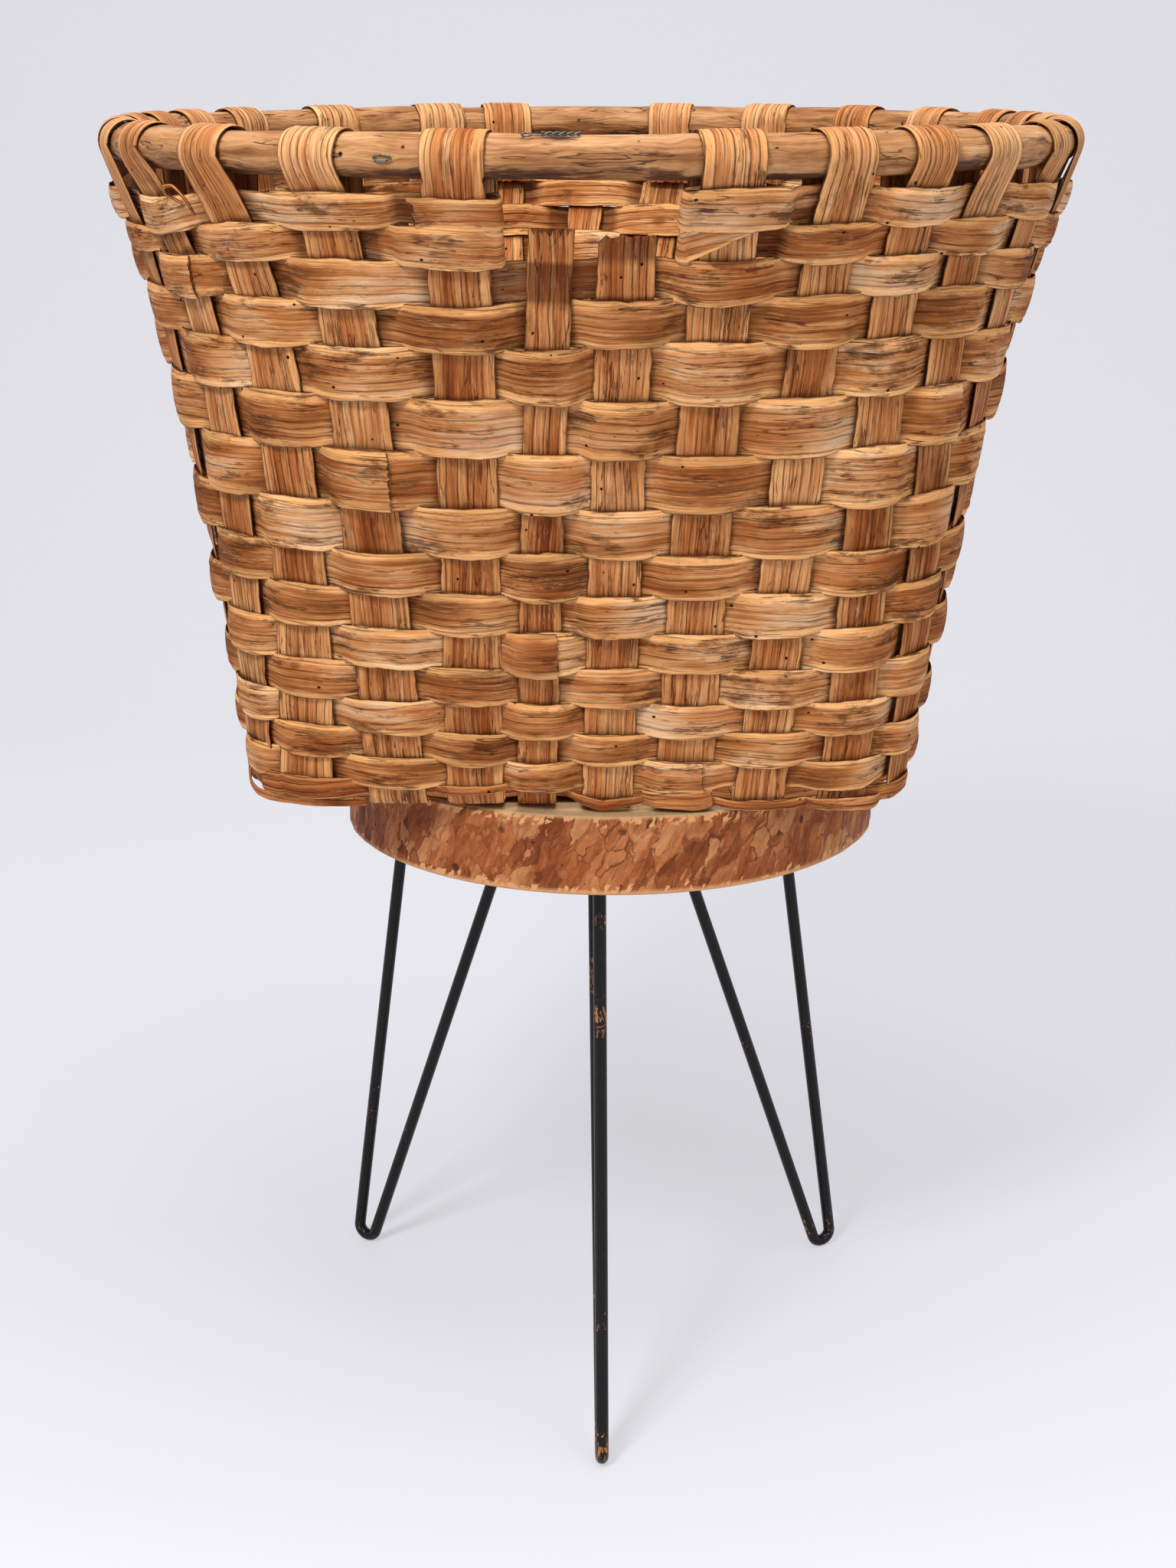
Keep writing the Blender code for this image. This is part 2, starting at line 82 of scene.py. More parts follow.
# %% [markdown]
# ## A short way to write materials
# A material is a small graph of nodes. Written out in full, each takes many lines, so this helper adds a
# node, sets its values and returns its result, and a finish below reads like a recipe.
# %% A helper for material nodes
class Finish:
    """A material whose nodes are added one after another."""

    def __init__(self, name):
        self.material = bpy.data.materials.new(name)
        self.material.use_nodes = True
        self.tree = self.material.node_tree
        self.shader = self.tree.nodes["Principled BSDF"]

    def add(self, kind, inputs=(), result=0, **settings):
        node = self.tree.nodes.new(kind)
        for key, value in settings.items():
            setattr(node, key, value)
        for key, value in dict(inputs).items():
            self.put(value, node.inputs[key])
        return node.outputs[result]

    def put(self, value, socket):
        if isinstance(value, bpy.types.NodeSocket):
            self.tree.links.new(value, socket)
        else:
            socket.default_value = value

    def math(self, operation, first, second=0.5, third=0.5):
        return self.add("ShaderNodeMath", {0: first, 1: second, 2: third}, operation=operation)

    def attribute(self, name, result="Vector"):
        node = self.tree.nodes.new("ShaderNodeAttribute")
        node.attribute_name = name
        return node.outputs[result]

    def times(self, first, second):
        return self.math("MULTIPLY", first, second)

    def set(self, socket, value):
        """Give the shader a colour, a number or a result."""
        self.put(value, self.shader.inputs[socket])

    def stretched(self, vector, scale, shift=(0, 0, 0)):
        return self.add("ShaderNodeVectorMath", {0: vector, 1: scale, 2: shift}, operation="MULTIPLY_ADD")

    def parts(self, vector):
        """The three numbers of a vector."""
        return self.add("ShaderNodeSeparateXYZ", {0: vector}, result=0).node.outputs

    def chance(self, vector, channel=0):
        """A random number for each cell of a vector's space."""
        return self.add("ShaderNodeSeparateColor", {0: self.spots(vector, result="Color")}, result=channel)

    def centred(self, color):
        """A colour's three numbers, less a half each, so that they push both ways."""
        return self.add("ShaderNodeVectorMath", {0: color, 1: (0.5, 0.5, 0.5)}, operation="SUBTRACT")

    def noise(self, vector, scale, shift=(0, 0, 0), detail=4, roughness=0.55, distortion=0.0, result="Fac"):
        """Soft noise, as many times denser along each of the vector's numbers as scale says."""
        inputs = {"Vector": self.stretched(vector, scale, shift), "Scale": 1, "Detail": detail,
                  "Roughness": roughness, "Distortion": distortion}
        return self.add("ShaderNodeTexNoise", inputs, result=result)

    def spots(self, vector, result="Distance"):
        return self.add("ShaderNodeTexVoronoi", {"Vector": vector, "Scale": 1}, result=result)

    def strips(self, across):
        """A random tone for each strip along one number, and the distance to the strip's border."""
        inputs = {"W": across, "Scale": 1}
        tone = self.add("ShaderNodeTexVoronoi", inputs, result="Color", voronoi_dimensions="1D")
        border = self.add("ShaderNodeTexVoronoi", inputs, voronoi_dimensions="1D", feature="DISTANCE_TO_EDGE")
        return self.add("ShaderNodeSeparateColor", {0: tone}, result=0), border

    def lines(self, value, width):
        """Thin lines where a noise passes its middle value."""
        apart = self.math("ABSOLUTE", self.math("SUBTRACT", value, 0.5))
        return self.band(apart, width, width * 0.4)

    def band(self, value, low, high, bottom=0.0, top=1.0):
        """A value that climbs smoothly from bottom to top as the input goes from low to high."""
        inputs = {"Value": value, "From Min": low, "From Max": high, "To Min": bottom, "To Max": top}
        return self.add("ShaderNodeMapRange", inputs, interpolation_type="SMOOTHSTEP")

    def ramp(self, value, stops):
        node = self.tree.nodes.new("ShaderNodeValToRGB")
        self.put(value, node.inputs[0])
        points = node.color_ramp.elements
        while len(points) < len(stops):
            points.new(0.5)
        for point, (place, color) in zip(points, stops):
            point.position = place
            point.color = (*color, 1)
        return node.outputs[0]

    def mix(self, share, first, second):
        node = self.tree.nodes.new("ShaderNodeMix")
        node.data_type = "RGBA"
        for value, key in ((share, 0), (first, 6), (second, 7)):
            if isinstance(value, tuple) and len(value) == 3:
                value = (*value, 1)
            self.put(value, node.inputs[key])
        return node.outputs[2]

    def relief(self, heights):
        """Bump nodes one after another, from (height, depth in metres) pairs."""
        normal = None
        for height, depth in heights:
            inputs = {"Height": height, "Distance": depth, "Strength": 1.0}
            if normal is not None:
                inputs["Normal"] = normal
            normal = self.add("ShaderNodeBump", inputs)
        self.set("Normal", normal)


# %% [markdown]
# ## Floor and backdrop
# A studio sweep is one sheet that lies on the floor and curves up behind the object, so no horizon shows.
# A lit sheet alone would come out patchy, so it also glows a little, and only toward the camera and in
# reflections: the floor keeps the object's shadow, and no extra light falls on the basket.
# %% Build the sweep
SWEEP_HALF_WIDTH = 6.0
SWEEP_FRONT = -5.0
SWEEP_BACK = 3.2
SWEEP_BEND = 1.6
SWEEP_TOP = 5.0
BEND_STEPS = 24


def sweep_profile():
    """The sheet's side view, as (back, height): flat, a quarter circle, upright."""
    profile = [(SWEEP_FRONT, 0.0)]
    for step in range(BEND_STEPS + 1):
        turn = math.radians(90) * step / BEND_STEPS
        y = SWEEP_BACK - SWEEP_BEND * (1 - math.sin(turn))
        profile.append((y, SWEEP_BEND * (1 - math.cos(turn))))
    return profile + [(SWEEP_BACK, SWEEP_TOP)]


profile = sweep_profile()
points = [(side * SWEEP_HALF_WIDTH, y, z) for y, z in profile for side in (-1, 1)]
faces = [(2 * k, 2 * k + 1, 2 * k + 3, 2 * k + 2) for k in range(len(profile) - 1)]
mesh = bpy.data.meshes.new("sweep")
mesh.from_pydata(points, [], faces)
mesh.shade_smooth()
sweep = put_in_scene("sweep", mesh)
print("sweep, metres wide:", 2 * SWEEP_HALF_WIDTH)

# %% Give the sheet its colour and its glow
# Painted light and shade on the sheet: the floor's colour is darker than the wall's, to even out the lamps, and
# the glow is brightest on the floor nearest the camera and dimmer toward and up the wall.
FLOOR_COLOR = (0.72, 0.73, 0.80)
WALL_COLOR = (0.77, 0.78, 0.85)
FLOOR_FADE = (0.5, 1.5)
PAPER_GLOW = [(0.0, (0.93, 0.94, 0.98)), (0.06, (0.86, 0.86, 0.91)), (0.16, (0.775, 0.77, 0.815)),
              (0.40, (0.79, 0.79, 0.835)), (0.80, (0.765, 0.765, 0.81)), (1.0, (0.735, 0.735, 0.78))]
GLOW_SPAN = (-0.45, 3.2)
GLOW_SHARE = 0.60

paper = Finish("sweep_paper")
place = paper.parts(paper.add("ShaderNodeTexCoord", result="Object"))[1]
paper.set("Base Color", paper.mix(paper.band(place, *FLOOR_FADE), FLOOR_COLOR, WALL_COLOR))
paper.set("Roughness", 0.6)
paper.set("Specular IOR Level", 0.15)
span = paper.add("ShaderNodeMapRange", {0: place, 1: GLOW_SPAN[0], 2: GLOW_SPAN[1]})
glow = paper.add("ShaderNodeEmission", {"Color": paper.ramp(span, PAPER_GLOW), "Strength": 1.0})
rays = paper.tree.nodes.new("ShaderNodeLightPath").outputs
seen = paper.math("MAXIMUM", rays["Is Glossy Ray"], rays["Is Transmission Ray"])
seen = paper.math("MAXIMUM", rays["Is Camera Ray"], seen)
layers = {0: paper.times(seen, GLOW_SHARE), 1: paper.shader.outputs[0], 2: glow}
mixed = paper.add("ShaderNodeMixShader", layers)
paper.put(mixed, paper.tree.nodes["Material Output"].inputs["Surface"])
mesh.materials.append(paper.material)
print("glow's share of what the camera sees:", GLOW_SHARE)

# %% [markdown]
# ## Lamps and room
# Two wide lamps from the front and one from above light the basket softly. The room adds a warm light from
# all round, as walls do. Where the camera sees past the sheet, the room has the sheet's colour.
# %% Hang the lamps
LAMPS = {
    "key": {"place": (-1.2, -2.3, 2.9), "size": 0.8, "power": 92},
    "fill": {"place": (2.0, -2.6, 1.4), "size": 1.8, "power": 22},
    "top": {"place": (0.2, -0.3, 3.2), "size": 2.0, "power": 55},
}
AIM = (0, 0, 0.6)


def look_at(obj, target):
    """Turn a lamp so that it shines on a point."""
    direction = np.subtract(target, obj.location)
    yaw = math.atan2(direction[1], direction[0]) - math.pi / 2
    pitch = math.atan2(direction[2], math.hypot(direction[0], direction[1]))
    obj.rotation_euler = (math.pi / 2 + pitch, 0, yaw)


for name, setting in LAMPS.items():
    data = bpy.data.lights.new(name, "AREA")
    data.shape = "DISK"
    data.size = setting["size"]
    data.energy = setting["power"]
    lamp = put_in_scene(name, data)
    lamp.location = setting["place"]
    look_at(lamp, AIM)
print("lamps:", ", ".join(LAMPS))

# %% Set the room's light
ROOM_COLOR = (1.0, 0.94, 0.86)
ROOM_STRENGTH = 0.38
SHOWN_COLOR = (0.745, 0.745, 0.79)

room = bpy.data.worlds.new("room")
room.use_nodes = True
nodes, links = room.node_tree.nodes, room.node_tree.links
lit = nodes["Background"]
lit.inputs["Color"].default_value = (*ROOM_COLOR, 1)
lit.inputs["Strength"].default_value = ROOM_STRENGTH
shown = nodes.new("ShaderNodeBackground")
shown.inputs["Color"].default_value = (*SHOWN_COLOR, 1)
rays = nodes.new("ShaderNodeLightPath").outputs
seen = rays["Is Camera Ray"]
for kind in ("Is Glossy Ray", "Is Transmission Ray"):
    either = nodes.new("ShaderNodeMath")
    either.operation = "MAXIMUM"
    links.new(seen, either.inputs[0])
    links.new(rays[kind], either.inputs[1])
    seen = either.outputs[0]
chosen = nodes.new("ShaderNodeMixShader")
for source, place in ((seen, 0), (lit.outputs[0], 1), (shown.outputs[0], 2)):
    links.new(source, chosen.inputs[place])
links.new(chosen.outputs[0], nodes["World Output"].inputs["Surface"])
bpy.context.scene.world = room
print("room strength:", ROOM_STRENGTH)

# %% [markdown]
# ## The wall that every splint follows
# The wall is squarish at the floor and round at the rim. A superellipse gives both, with one number that
# says how square it is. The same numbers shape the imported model, so each piece here lies where it lies there.
# %% The wall's sizes
POLE_RADIUS = 0.013
RIM_RADIUS = 0.311
RIM_HEIGHT = pole_high.z - POLE_RADIUS
SPLINT = 0.0018
FLOOR_HEIGHT = slab_high.z + 0.0034
FLOOR_WAVE = 0.0022
BASE_HALF_WIDTH = 0.2205
BASE_HALF_DEPTH = 0.173
BASE_SQUARENESS = 6.0
ROUNDING_POWER = 1.7
EVEN_FLARE = 0.634
FLARE_POWER = 3
BASE_SIDE_SHIFT = -0.008
RIM_REACH = RIM_RADIUS + 0.0155


def rise_at(height):
    """How far up the wall a height is: 0 on the floor, 1 at the rim."""
    return (np.asarray(height, float) - FLOOR_HEIGHT) / (RIM_HEIGHT - FLOOR_HEIGHT)


def wall_point(bearing, height):
    """Points on the wall's middle surface, one for each bearing and height."""
    rise = rise_at(height)
    spread = EVEN_FLARE * rise + (1 - EVEN_FLARE) * rise ** FLARE_POWER
    half_width = BASE_HALF_WIDTH + (RIM_REACH - BASE_HALF_WIDTH) * spread
    half_depth = BASE_HALF_DEPTH + (RIM_REACH - BASE_HALF_DEPTH) * spread
    square = 2 + (BASE_SQUARENESS - 2) * np.clip(1 - rise, 0, 1) ** ROUNDING_POWER
    across = np.abs(np.cos(bearing) / half_width) ** square
    along = np.abs(np.sin(bearing) / half_depth) ** square
    radius = (across + along) ** (-1 / square)
    x = radius * np.cos(bearing) + BASE_SIDE_SHIFT * (1 - rise)
    return np.stack([x, radius * np.sin(bearing), np.asarray(height, float) + 0 * rise], axis=-1)


def unit(vectors):
    return vectors / np.linalg.norm(vectors, axis=-1, keepdims=True)


def wall_frame(bearing, height):
    """The wall's point, its way round (anticlockwise), its way up and its way out."""
    small = 1e-4
    round_it = unit(wall_point(bearing + small, height) - wall_point(bearing - small, height))
    up = unit(wall_point(bearing, height + small) - wall_point(bearing, height - small))
    out = unit(np.cross(round_it, up))
    return wall_point(bearing, height), round_it, up, out


# %% Where the stakes stand and how wide each is
FRONT_BACK_WIDTHS = (0.038, 0.038, 0.037, 0.026, 0.033, 0.037, 0.033, 0.034)
SIDE_WIDTHS = (0.034, 0.035, 0.034, 0.035, 0.034, 0.035, 0.034)
FRONT_BACK_SHIFTS = (-0.0020, 0.0090, 0.0088, -0.0021, -0.0071, -0.0081, -0.0094, -0.0051)
STAKE_BOWS = {0: 3.6, 28: 1.5, 29: 3.5}
OUTER_STAKE_INSET_WIDTH = 0.0434
OUTER_STAKE_INSET_DEPTH = 0.035
RIM_DEGREES = (-45.1, -29.7, -13.8, -3.6, 3.8, 14.1, 26.9, 37.7,
               48.9, 63.0, 73.5, 82.5, 91.5, 100.5, 110.0,
               124.5, 138.3, 153.1, 168.0, 179.0, 192.6, 202.9, 220.3,
               237.0, 248.5, 258.5, 268.5, 278.5, 288.5, 299.5)
FOLD_PULLS = {0: -2.8, 1: -2.4, 2: -0.6, 5: 0.5, 6: 1.3, 7: 2.7, 8: 4.3, 9: 6.0, 28: -5.0, 29: -6.5}
PULL_POWER = 8
BREAK_DROPS = {3: 0.039, 4: 0.044, 19: 0.056}


def spread_out(count, half_size, inset):
    """Even places across the base, the outer two an inset away from its edges."""
    return np.linspace(-1, 1, count) * (half_size - inset)


def outline(distance, half_here, half_there):
    """How far the base reaches one way, at a distance from its middle the other way."""
    share = 1 - (np.abs(distance) / half_here) ** BASE_SQUARENESS
    return half_there * share ** (1 / BASE_SQUARENESS)


lanes = spread_out(len(FRONT_BACK_WIDTHS), BASE_HALF_WIDTH, OUTER_STAKE_INSET_WIDTH) + FRONT_BACK_SHIFTS
bars = spread_out(len(SIDE_WIDTHS), BASE_HALF_DEPTH, OUTER_STAKE_INSET_DEPTH)
lane_reach = outline(lanes, BASE_HALF_WIDTH, BASE_HALF_DEPTH)
bar_reach = outline(bars, BASE_HALF_DEPTH, BASE_HALF_WIDTH)
base_points = np.array([(x, -reach) for x, reach in zip(lanes, lane_reach)]
                       + [(reach, y) for y, reach in zip(bars, bar_reach)]
                       + [(x, reach) for x, reach in zip(lanes[::-1], lane_reach[::-1])]
                       + [(-reach, y) for y, reach in zip(bars[::-1], bar_reach[::-1])])
STAKE_WIDTHS = np.array(FRONT_BACK_WIDTHS + SIDE_WIDTHS + FRONT_BACK_WIDTHS[::-1] + SIDE_WIDTHS[::-1])
STAKES = len(STAKE_WIDTHS)
base_bearings = np.unwrap(np.arctan2(base_points[:, 1], base_points[:, 0]))
rim_bearings = np.unwrap(np.radians(np.array(RIM_DEGREES) - 90))
rim_bearings += 2 * np.pi * np.round((base_bearings[0] - rim_bearings[0]) / (2 * np.pi))
bows, pulls = np.zeros(STAKES), np.zeros(STAKES)
for index, bow in STAKE_BOWS.items():
    bows[index] = math.radians(bow)
for index, pull in FOLD_PULLS.items():
    pulls[index] = math.radians(pull)
print("stakes:", STAKES, "lanes:", len(lanes), "bars:", len(bars))


def stake_bearing(place, height):
    """The bearing at a height of a place round the wall, counted in stakes, halves being between two."""
    turns, spot = np.divmod(np.asarray(place, float), STAKES)
    ring = np.arange(STAKES + 1)
    base = np.interp(spot, ring, np.append(base_bearings, base_bearings[0] + 2 * np.pi))
    rim = np.interp(spot, ring, np.append(rim_bearings, rim_bearings[0] + 2 * np.pi))
    bow = np.interp(spot, ring, np.append(bows, bows[0]))
    pull = np.interp(spot, ring, np.append(pulls, pulls[0]))
    rise = rise_at(height)
    even = base + (rim - pull - base) * rise + 4 * bow * rise * (1 - rise)
    return even + pull * np.clip(rise, 0, None) ** PULL_POWER + 2 * np.pi * turns


# %% The heights of the fifteen rows
ROW_WIDTHS = (0.020, 0.020, 0.022, 0.024, 0.025, 0.025, 0.026, 0.030,
              0.034, 0.033, 0.029, 0.026, 0.021, 0.019, 0.019)
FIRST_ROW_RISE = 0.018
TOP_ROW_DROP = 0.0256
ROWS = len(ROW_WIDTHS)
lowest_edge, highest_edge = FLOOR_HEIGHT + FIRST_ROW_RISE, RIM_HEIGHT - TOP_ROW_DROP
row_shares = np.concatenate([[0], np.cumsum(ROW_WIDTHS)]) / sum(ROW_WIDTHS)
row_edges = lowest_edge + (highest_edge - lowest_edge) * row_shares
row_middles = (row_edges[:-1] + row_edges[1:]) / 2
print("lowest and highest row edge:", round(row_edges[0], 4), round(row_edges[-1], 4))

# %% [markdown]
# ## Chance, lifts and sag
# No two crossings of hand work are alike, so each edge, swing and lean gets a small chance difference. Near
# the torn rim nothing presses the weavers down, and their edges have crept up by the lifts below, in
# millimetres at each stake. Lower down the front the weavers sag, most between the middle stakes.
# %% Chance differences, and the edges that have moved
EDGE_CHANCE = 0.0008
SWING_CHANCE = 0.0004
LEAN_CHANCE = 0.035
EDGE_LIFTS = {
    11: {4: 4.5, 5: 4.0, 6: 2.0, 7: 4.0, 8: 2.5},
    12: {3: 3.5, 4: 6.0, 5: 4.5, 6: 6.0, 7: 6.5, 8: 4.5, 9: 2.5},
    13: {29: 1.0, 0: 2.5, 1: 5.0, 2: 2.5, 3: 3.5, 4: 5.5, 5: 7.0, 6: 6.5, 7: 6.5, 8: 4.0, 9: 2.5},
    14: {27: -2.0, 28: -3.5, 29: -5.0, 0: 6.0, 1: 5.5, 2: 7.0, 3: 5.5,
         4: 6.5, 5: 7.5, 6: 6.5, 7: 6.0, 8: 6.0, 9: 3.5},
    15: {27: -2.0, 28: -3.5, 29: -4.5, 0: 2.0, 1: 7.0, 2: 4.5, 3: 5.0,
         4: 6.5, 5: 7.5, 6: 7.0, 7: 5.0, 8: 5.0, 9: 3.0},
}
SAG_DEPTH = 0.0066
SAG_EDGES = np.array([0.65, 0.95, 1.0, 1.0, 1.0, 0.95, 0.90, 0.75, 0.55, 0.35, 0.15, 0, 0, 0, 0, 0])
SAG_STAKES = {0: 0.10, 1: 0.50, 2: 0.80, 3: 0.95, 4: 1.0, 5: 1.0, 6: 1.0, 7: 1.0, 8: 0.80, 9: 0.45, 10: 0.15}

hand = np.random.default_rng(41)
edge_drift = hand.normal(0, EDGE_CHANCE, (ROWS + 1, STAKES))
swing_drift = hand.normal(0, SWING_CHANCE, (ROWS, STAKES))
lean_drift = hand.normal(0, LEAN_CHANCE, (ROWS, STAKES))
for edge, lifts in EDGE_LIFTS.items():
    for index, lift in lifts.items():
        edge_drift[edge, index] += lift / 1000
for index, share in SAG_STAKES.items():
    edge_drift[:, index] -= SAG_DEPTH * share * SAG_EDGES
print("highest lift, millimetres:", round(1000 * edge_drift.max(), 1))

# %% [markdown]
# ## One way to make every splint
# A splint is a strip with long ridges on its faces and thin, worn edges. It could be a plane with Solidify,
# but then both faces would match. Here a closed section is swept along a line, ring by ring, so the outer
# face gets a crown and ridges of its own. Each vertex also stores how far along and across the grain it
# lies, and the wood finish reads that, so the grain bends with the splint.
# %% A smooth random wobble, and a line made smooth
OUTER_COLUMNS = 27
INNER_COLUMNS = 9


def wobble(along, seed, length):
    """A smooth random curve between about -1 and 1, with waves of about that length."""
    draw = np.random.default_rng(seed)
    total = np.zeros_like(np.asarray(along, float))
    for octave in (1.0, 1.9, 3.1):
        phase = draw.uniform(0, 2 * np.pi)
        stretch = draw.uniform(0.85, 1.15)
        total = total + np.sin(along * 2 * np.pi / length * octave * stretch + phase) / octave
    return total / 1.6


def eased_line(points, sides, spacing, blur):
    """A line and its side vectors, with the corners rounded and a point every so far."""
    fine = 0.001
    steps = np.linalg.norm(np.diff(points, axis=0), axis=1)
    along = np.concatenate([[0], np.cumsum(steps)])
    places = np.arange(0, along[-1], fine)
    line = np.stack([np.interp(places, along, points[:, axis]) for axis in range(3)], axis=1)
    side = np.stack([np.interp(places, along, sides[:, axis]) for axis in range(3)], axis=1)
    reach = int(3 * blur / fine)
    weights = np.exp(-0.5 * (np.arange(-reach, reach + 1) * fine / blur) ** 2)
    weights /= weights.sum()
    start = line[0] + (line[0] - line[1:reach + 1][::-1])
    finish = line[-1] + (line[-1] - line[-reach - 1:-1][::-1])
    padded = np.concatenate([start, line, finish])
    smooth = np.stack([np.convolve(padded[:, axis], weights, "valid") for axis in range(3)], axis=1)
    keep = np.unique(np.append(np.arange(0, len(smooth), max(1, int(spacing / fine))), len(smooth) - 1))
    return smooth[keep], unit(side[keep])


# %% The relief of a splint's face
STRAND_PLACES = np.array([-0.90, -0.66, -0.25, 0.25, 0.66, 0.90])
STRAND_SPREADS = (0.14, 0.17, 0.50, 0.50, 0.17, 0.14)
STRANDS = len(STRAND_PLACES)


def strand_relief(along, seed):
    """Thin ridges near the edges, a flat middle: a function of how far across, -1 to 1."""
    draw = np.random.default_rng(seed)
    middles = STRAND_PLACES + draw.uniform(-0.06, 0.06, STRANDS)
    heights = draw.uniform(0.35, 0.95, STRANDS)
    heights[2:4] = draw.uniform(0.30, 0.42, 2)
    drifts = [0.05 * wobble(along, seed + 10 + k, 0.30) for k in range(STRANDS)]
    swells = [1 + 0.5 * wobble(along, seed + 30 + k, 0.16) for k in range(STRANDS)]

    def relief(t):
        total = 0 * along
        for middle, spread, height, drift, swell in zip(middles, STRAND_SPREADS, heights, drifts, swells):
            total = np.maximum(total, height * swell * (1 - ((t - middle - drift) / spread) ** 2))
        return total
    return relief


NICK_SPACING = 0.12


def nicked_edge(along, seed, wave):
    """How far an edge stands out from its even line: long waves, short ones and a few nicks."""
    draw = np.random.default_rng(seed)
    edge = wave * wobble(along, seed + 1, 0.05) + 0.4 * wave * wobble(along, seed + 2, 0.013)
    for place in draw.uniform(0, along[-1], int(along[-1] / NICK_SPACING)):
        depth = draw.uniform(0.0003, 0.0011)
        edge = edge - depth * np.exp(-(((along - place) / draw.uniform(0.001, 0.003)) ** 2))
    return edge


# %% Faces of a swept form, and values kept on its vertices
def tube_faces(rings, ring):
    """Quads from ring to ring of a closed tube, and a face over each end."""
    start = np.arange(rings - 1)[:, None] * ring
    here = np.arange(ring)[None, :]
    following = (here + 1) % ring
    quads = np.stack([start + here, start + following, start + ring + following, start + ring + here], axis=2)
    faces = [tuple(face) for face in quads.reshape(-1, 4).tolist()]
    return faces + [tuple(range(ring))[::-1], tuple(range((rings - 1) * ring, rings * ring))]


def keep_values(mesh, name, values):
    """Store a number or a vector for each vertex, for the finish to read."""
    kind, field = ("FLOAT", "value") if values.ndim == 1 else ("FLOAT_VECTOR", "vector")
    mesh.attributes.new(name, kind, "POINT").data.foreach_set(field, values.reshape(-1))


# %% Sweep a splint
EDGE_THICKNESS = 0.30
SHARP_TURN = math.radians(60)


def sweep_splint(name, line, sides, half_width, seed, crown, ridge, ragged, tone, thickness=SPLINT,
                 contact_shade=(0.0, 0.0), edge_wave=0.0005):
    """A splint along a line. ragged: how torn each end is. Its painted shade is one pair of values, for the
    outer and the inner face.
    """
    rings = len(line)
    steps = np.linalg.norm(np.diff(line, axis=0), axis=1)
    along = np.concatenate([[0], np.cumsum(steps)])
    forward = unit(np.gradient(line, axis=0))
    sides = unit(sides - forward * np.sum(sides * forward, axis=1, keepdims=True))
    outward = np.cross(forward, sides)
    draw = np.random.default_rng(seed)
    low = half_width + nicked_edge(along, seed + 40, edge_wave)
    high = half_width + nicked_edge(along, seed + 60, edge_wave)
    relief = strand_relief(along, seed)
    columns = [(t, 1) for t in np.linspace(-1, 1, OUTER_COLUMNS)]
    columns += [(t, -1) for t in np.linspace(1, -1, INNER_COLUMNS)]
    tears = [draw.uniform(-1, 1, OUTER_COLUMNS) * size for size in ragged]
    points = np.zeros((rings, len(columns), 3))
    grain = np.zeros((rings, len(columns), 3))
    for column, (t, face) in enumerate(columns):
        reach = np.where(t < 0, low, high) * t
        rounding = EDGE_THICKNESS + (1 - EDGE_THICKNESS) * (1 - abs(t) ** 6)
        depth = ridge if face > 0 else ridge * 0.5
        lift = face * (thickness / 2 * rounding + depth * (relief(face * t) - 0.5) * (1 - abs(t) ** 8))
        lift = lift + crown * (1 - t * t)
        points[:, column] = line + sides * reach[:, None] + outward * lift[:, None]
        near = min(OUTER_COLUMNS - 1, int(round((t + 1) / 2 * (OUTER_COLUMNS - 1))))
        points[0, column] += forward[0] * tears[0][near]
        points[-1, column] += forward[-1] * tears[1][near]
        grain[:, column, 0] = along
        grain[:, column, 1] = reach
        grain[:, column, 2] = seed * 0.37 + (0 if face > 0 else 0.21)
    mesh = bpy.data.meshes.new(name)
    faces = [face[::-1] for face in tube_faces(rings, len(columns))]
    mesh.from_pydata(points.reshape(-1, 3).tolist(), [], faces)
    look = np.zeros((rings, len(columns), 3))
    look[:, :, 0] = np.abs([t for t, face in columns])
    look[:, :, 1] = tone
    # The third number of look is painted shade, on the outer or the inner face.
    for column, (t, face) in enumerate(columns):
        look[:, column, 2] = contact_shade[0] if face > 0 else contact_shade[1]
    keep_values(mesh, "grain", grain)
    keep_values(mesh, "look", look)
    mesh.shade_smooth()
    mesh.set_sharp_from_angle(angle=SHARP_TURN)
    return put_in_scene(name, mesh)


# %% [markdown]
# ## The wood of the splints
# Split wood shows its fibres from end to end. Noise that is stretched far along the grain gives the broad
# bands, the thin streaks and the dark heartwood lines, at three widths. Small spots are insect holes, a few
# larger ones are knots. The edges are paler, partly from a painted highlight on their raised strands, and
# painted shade darkens the side edges and the places beside crossing splints.
# %% Splint wood
# A dark brown for grooves, cracks and knots, and for painted shade along the edges and beside crossing splints.
GROOVE_AND_SHADE_BROWN = (0.075, 0.014, 0.003)
HEART_BROWN = (0.070, 0.018, 0.004)
HOLE_BROWN = (0.010, 0.003, 0.001)
PALE_FIBRE = (0.95, 0.62, 0.32)
RUDDY = (0.40, 0.085, 0.016)
# how near a knot's middle each brown starts and where it is full, then its share and the brown
KNOT_RINGS = [(0.27, 0.20, 0.55, HEART_BROWN), (0.21, 0.19, 0.6, (0.30, 0.085, 0.022)),
              (0.13, 0.11, 0.8, GROOVE_AND_SHADE_BROWN)]
GREYED = (0.270, 0.100, 0.030)
# Honey on the raised strands near the edges: partly the paler wood there, partly a painted highlight.
PALE_EDGE_AND_HIGHLIGHT = (0.96, 0.52, 0.20)
# how far a splint's seed moves its pattern and its strips, so that no two splints are alike
GRAIN_APART = 31
STRIPS_APART = 57.3


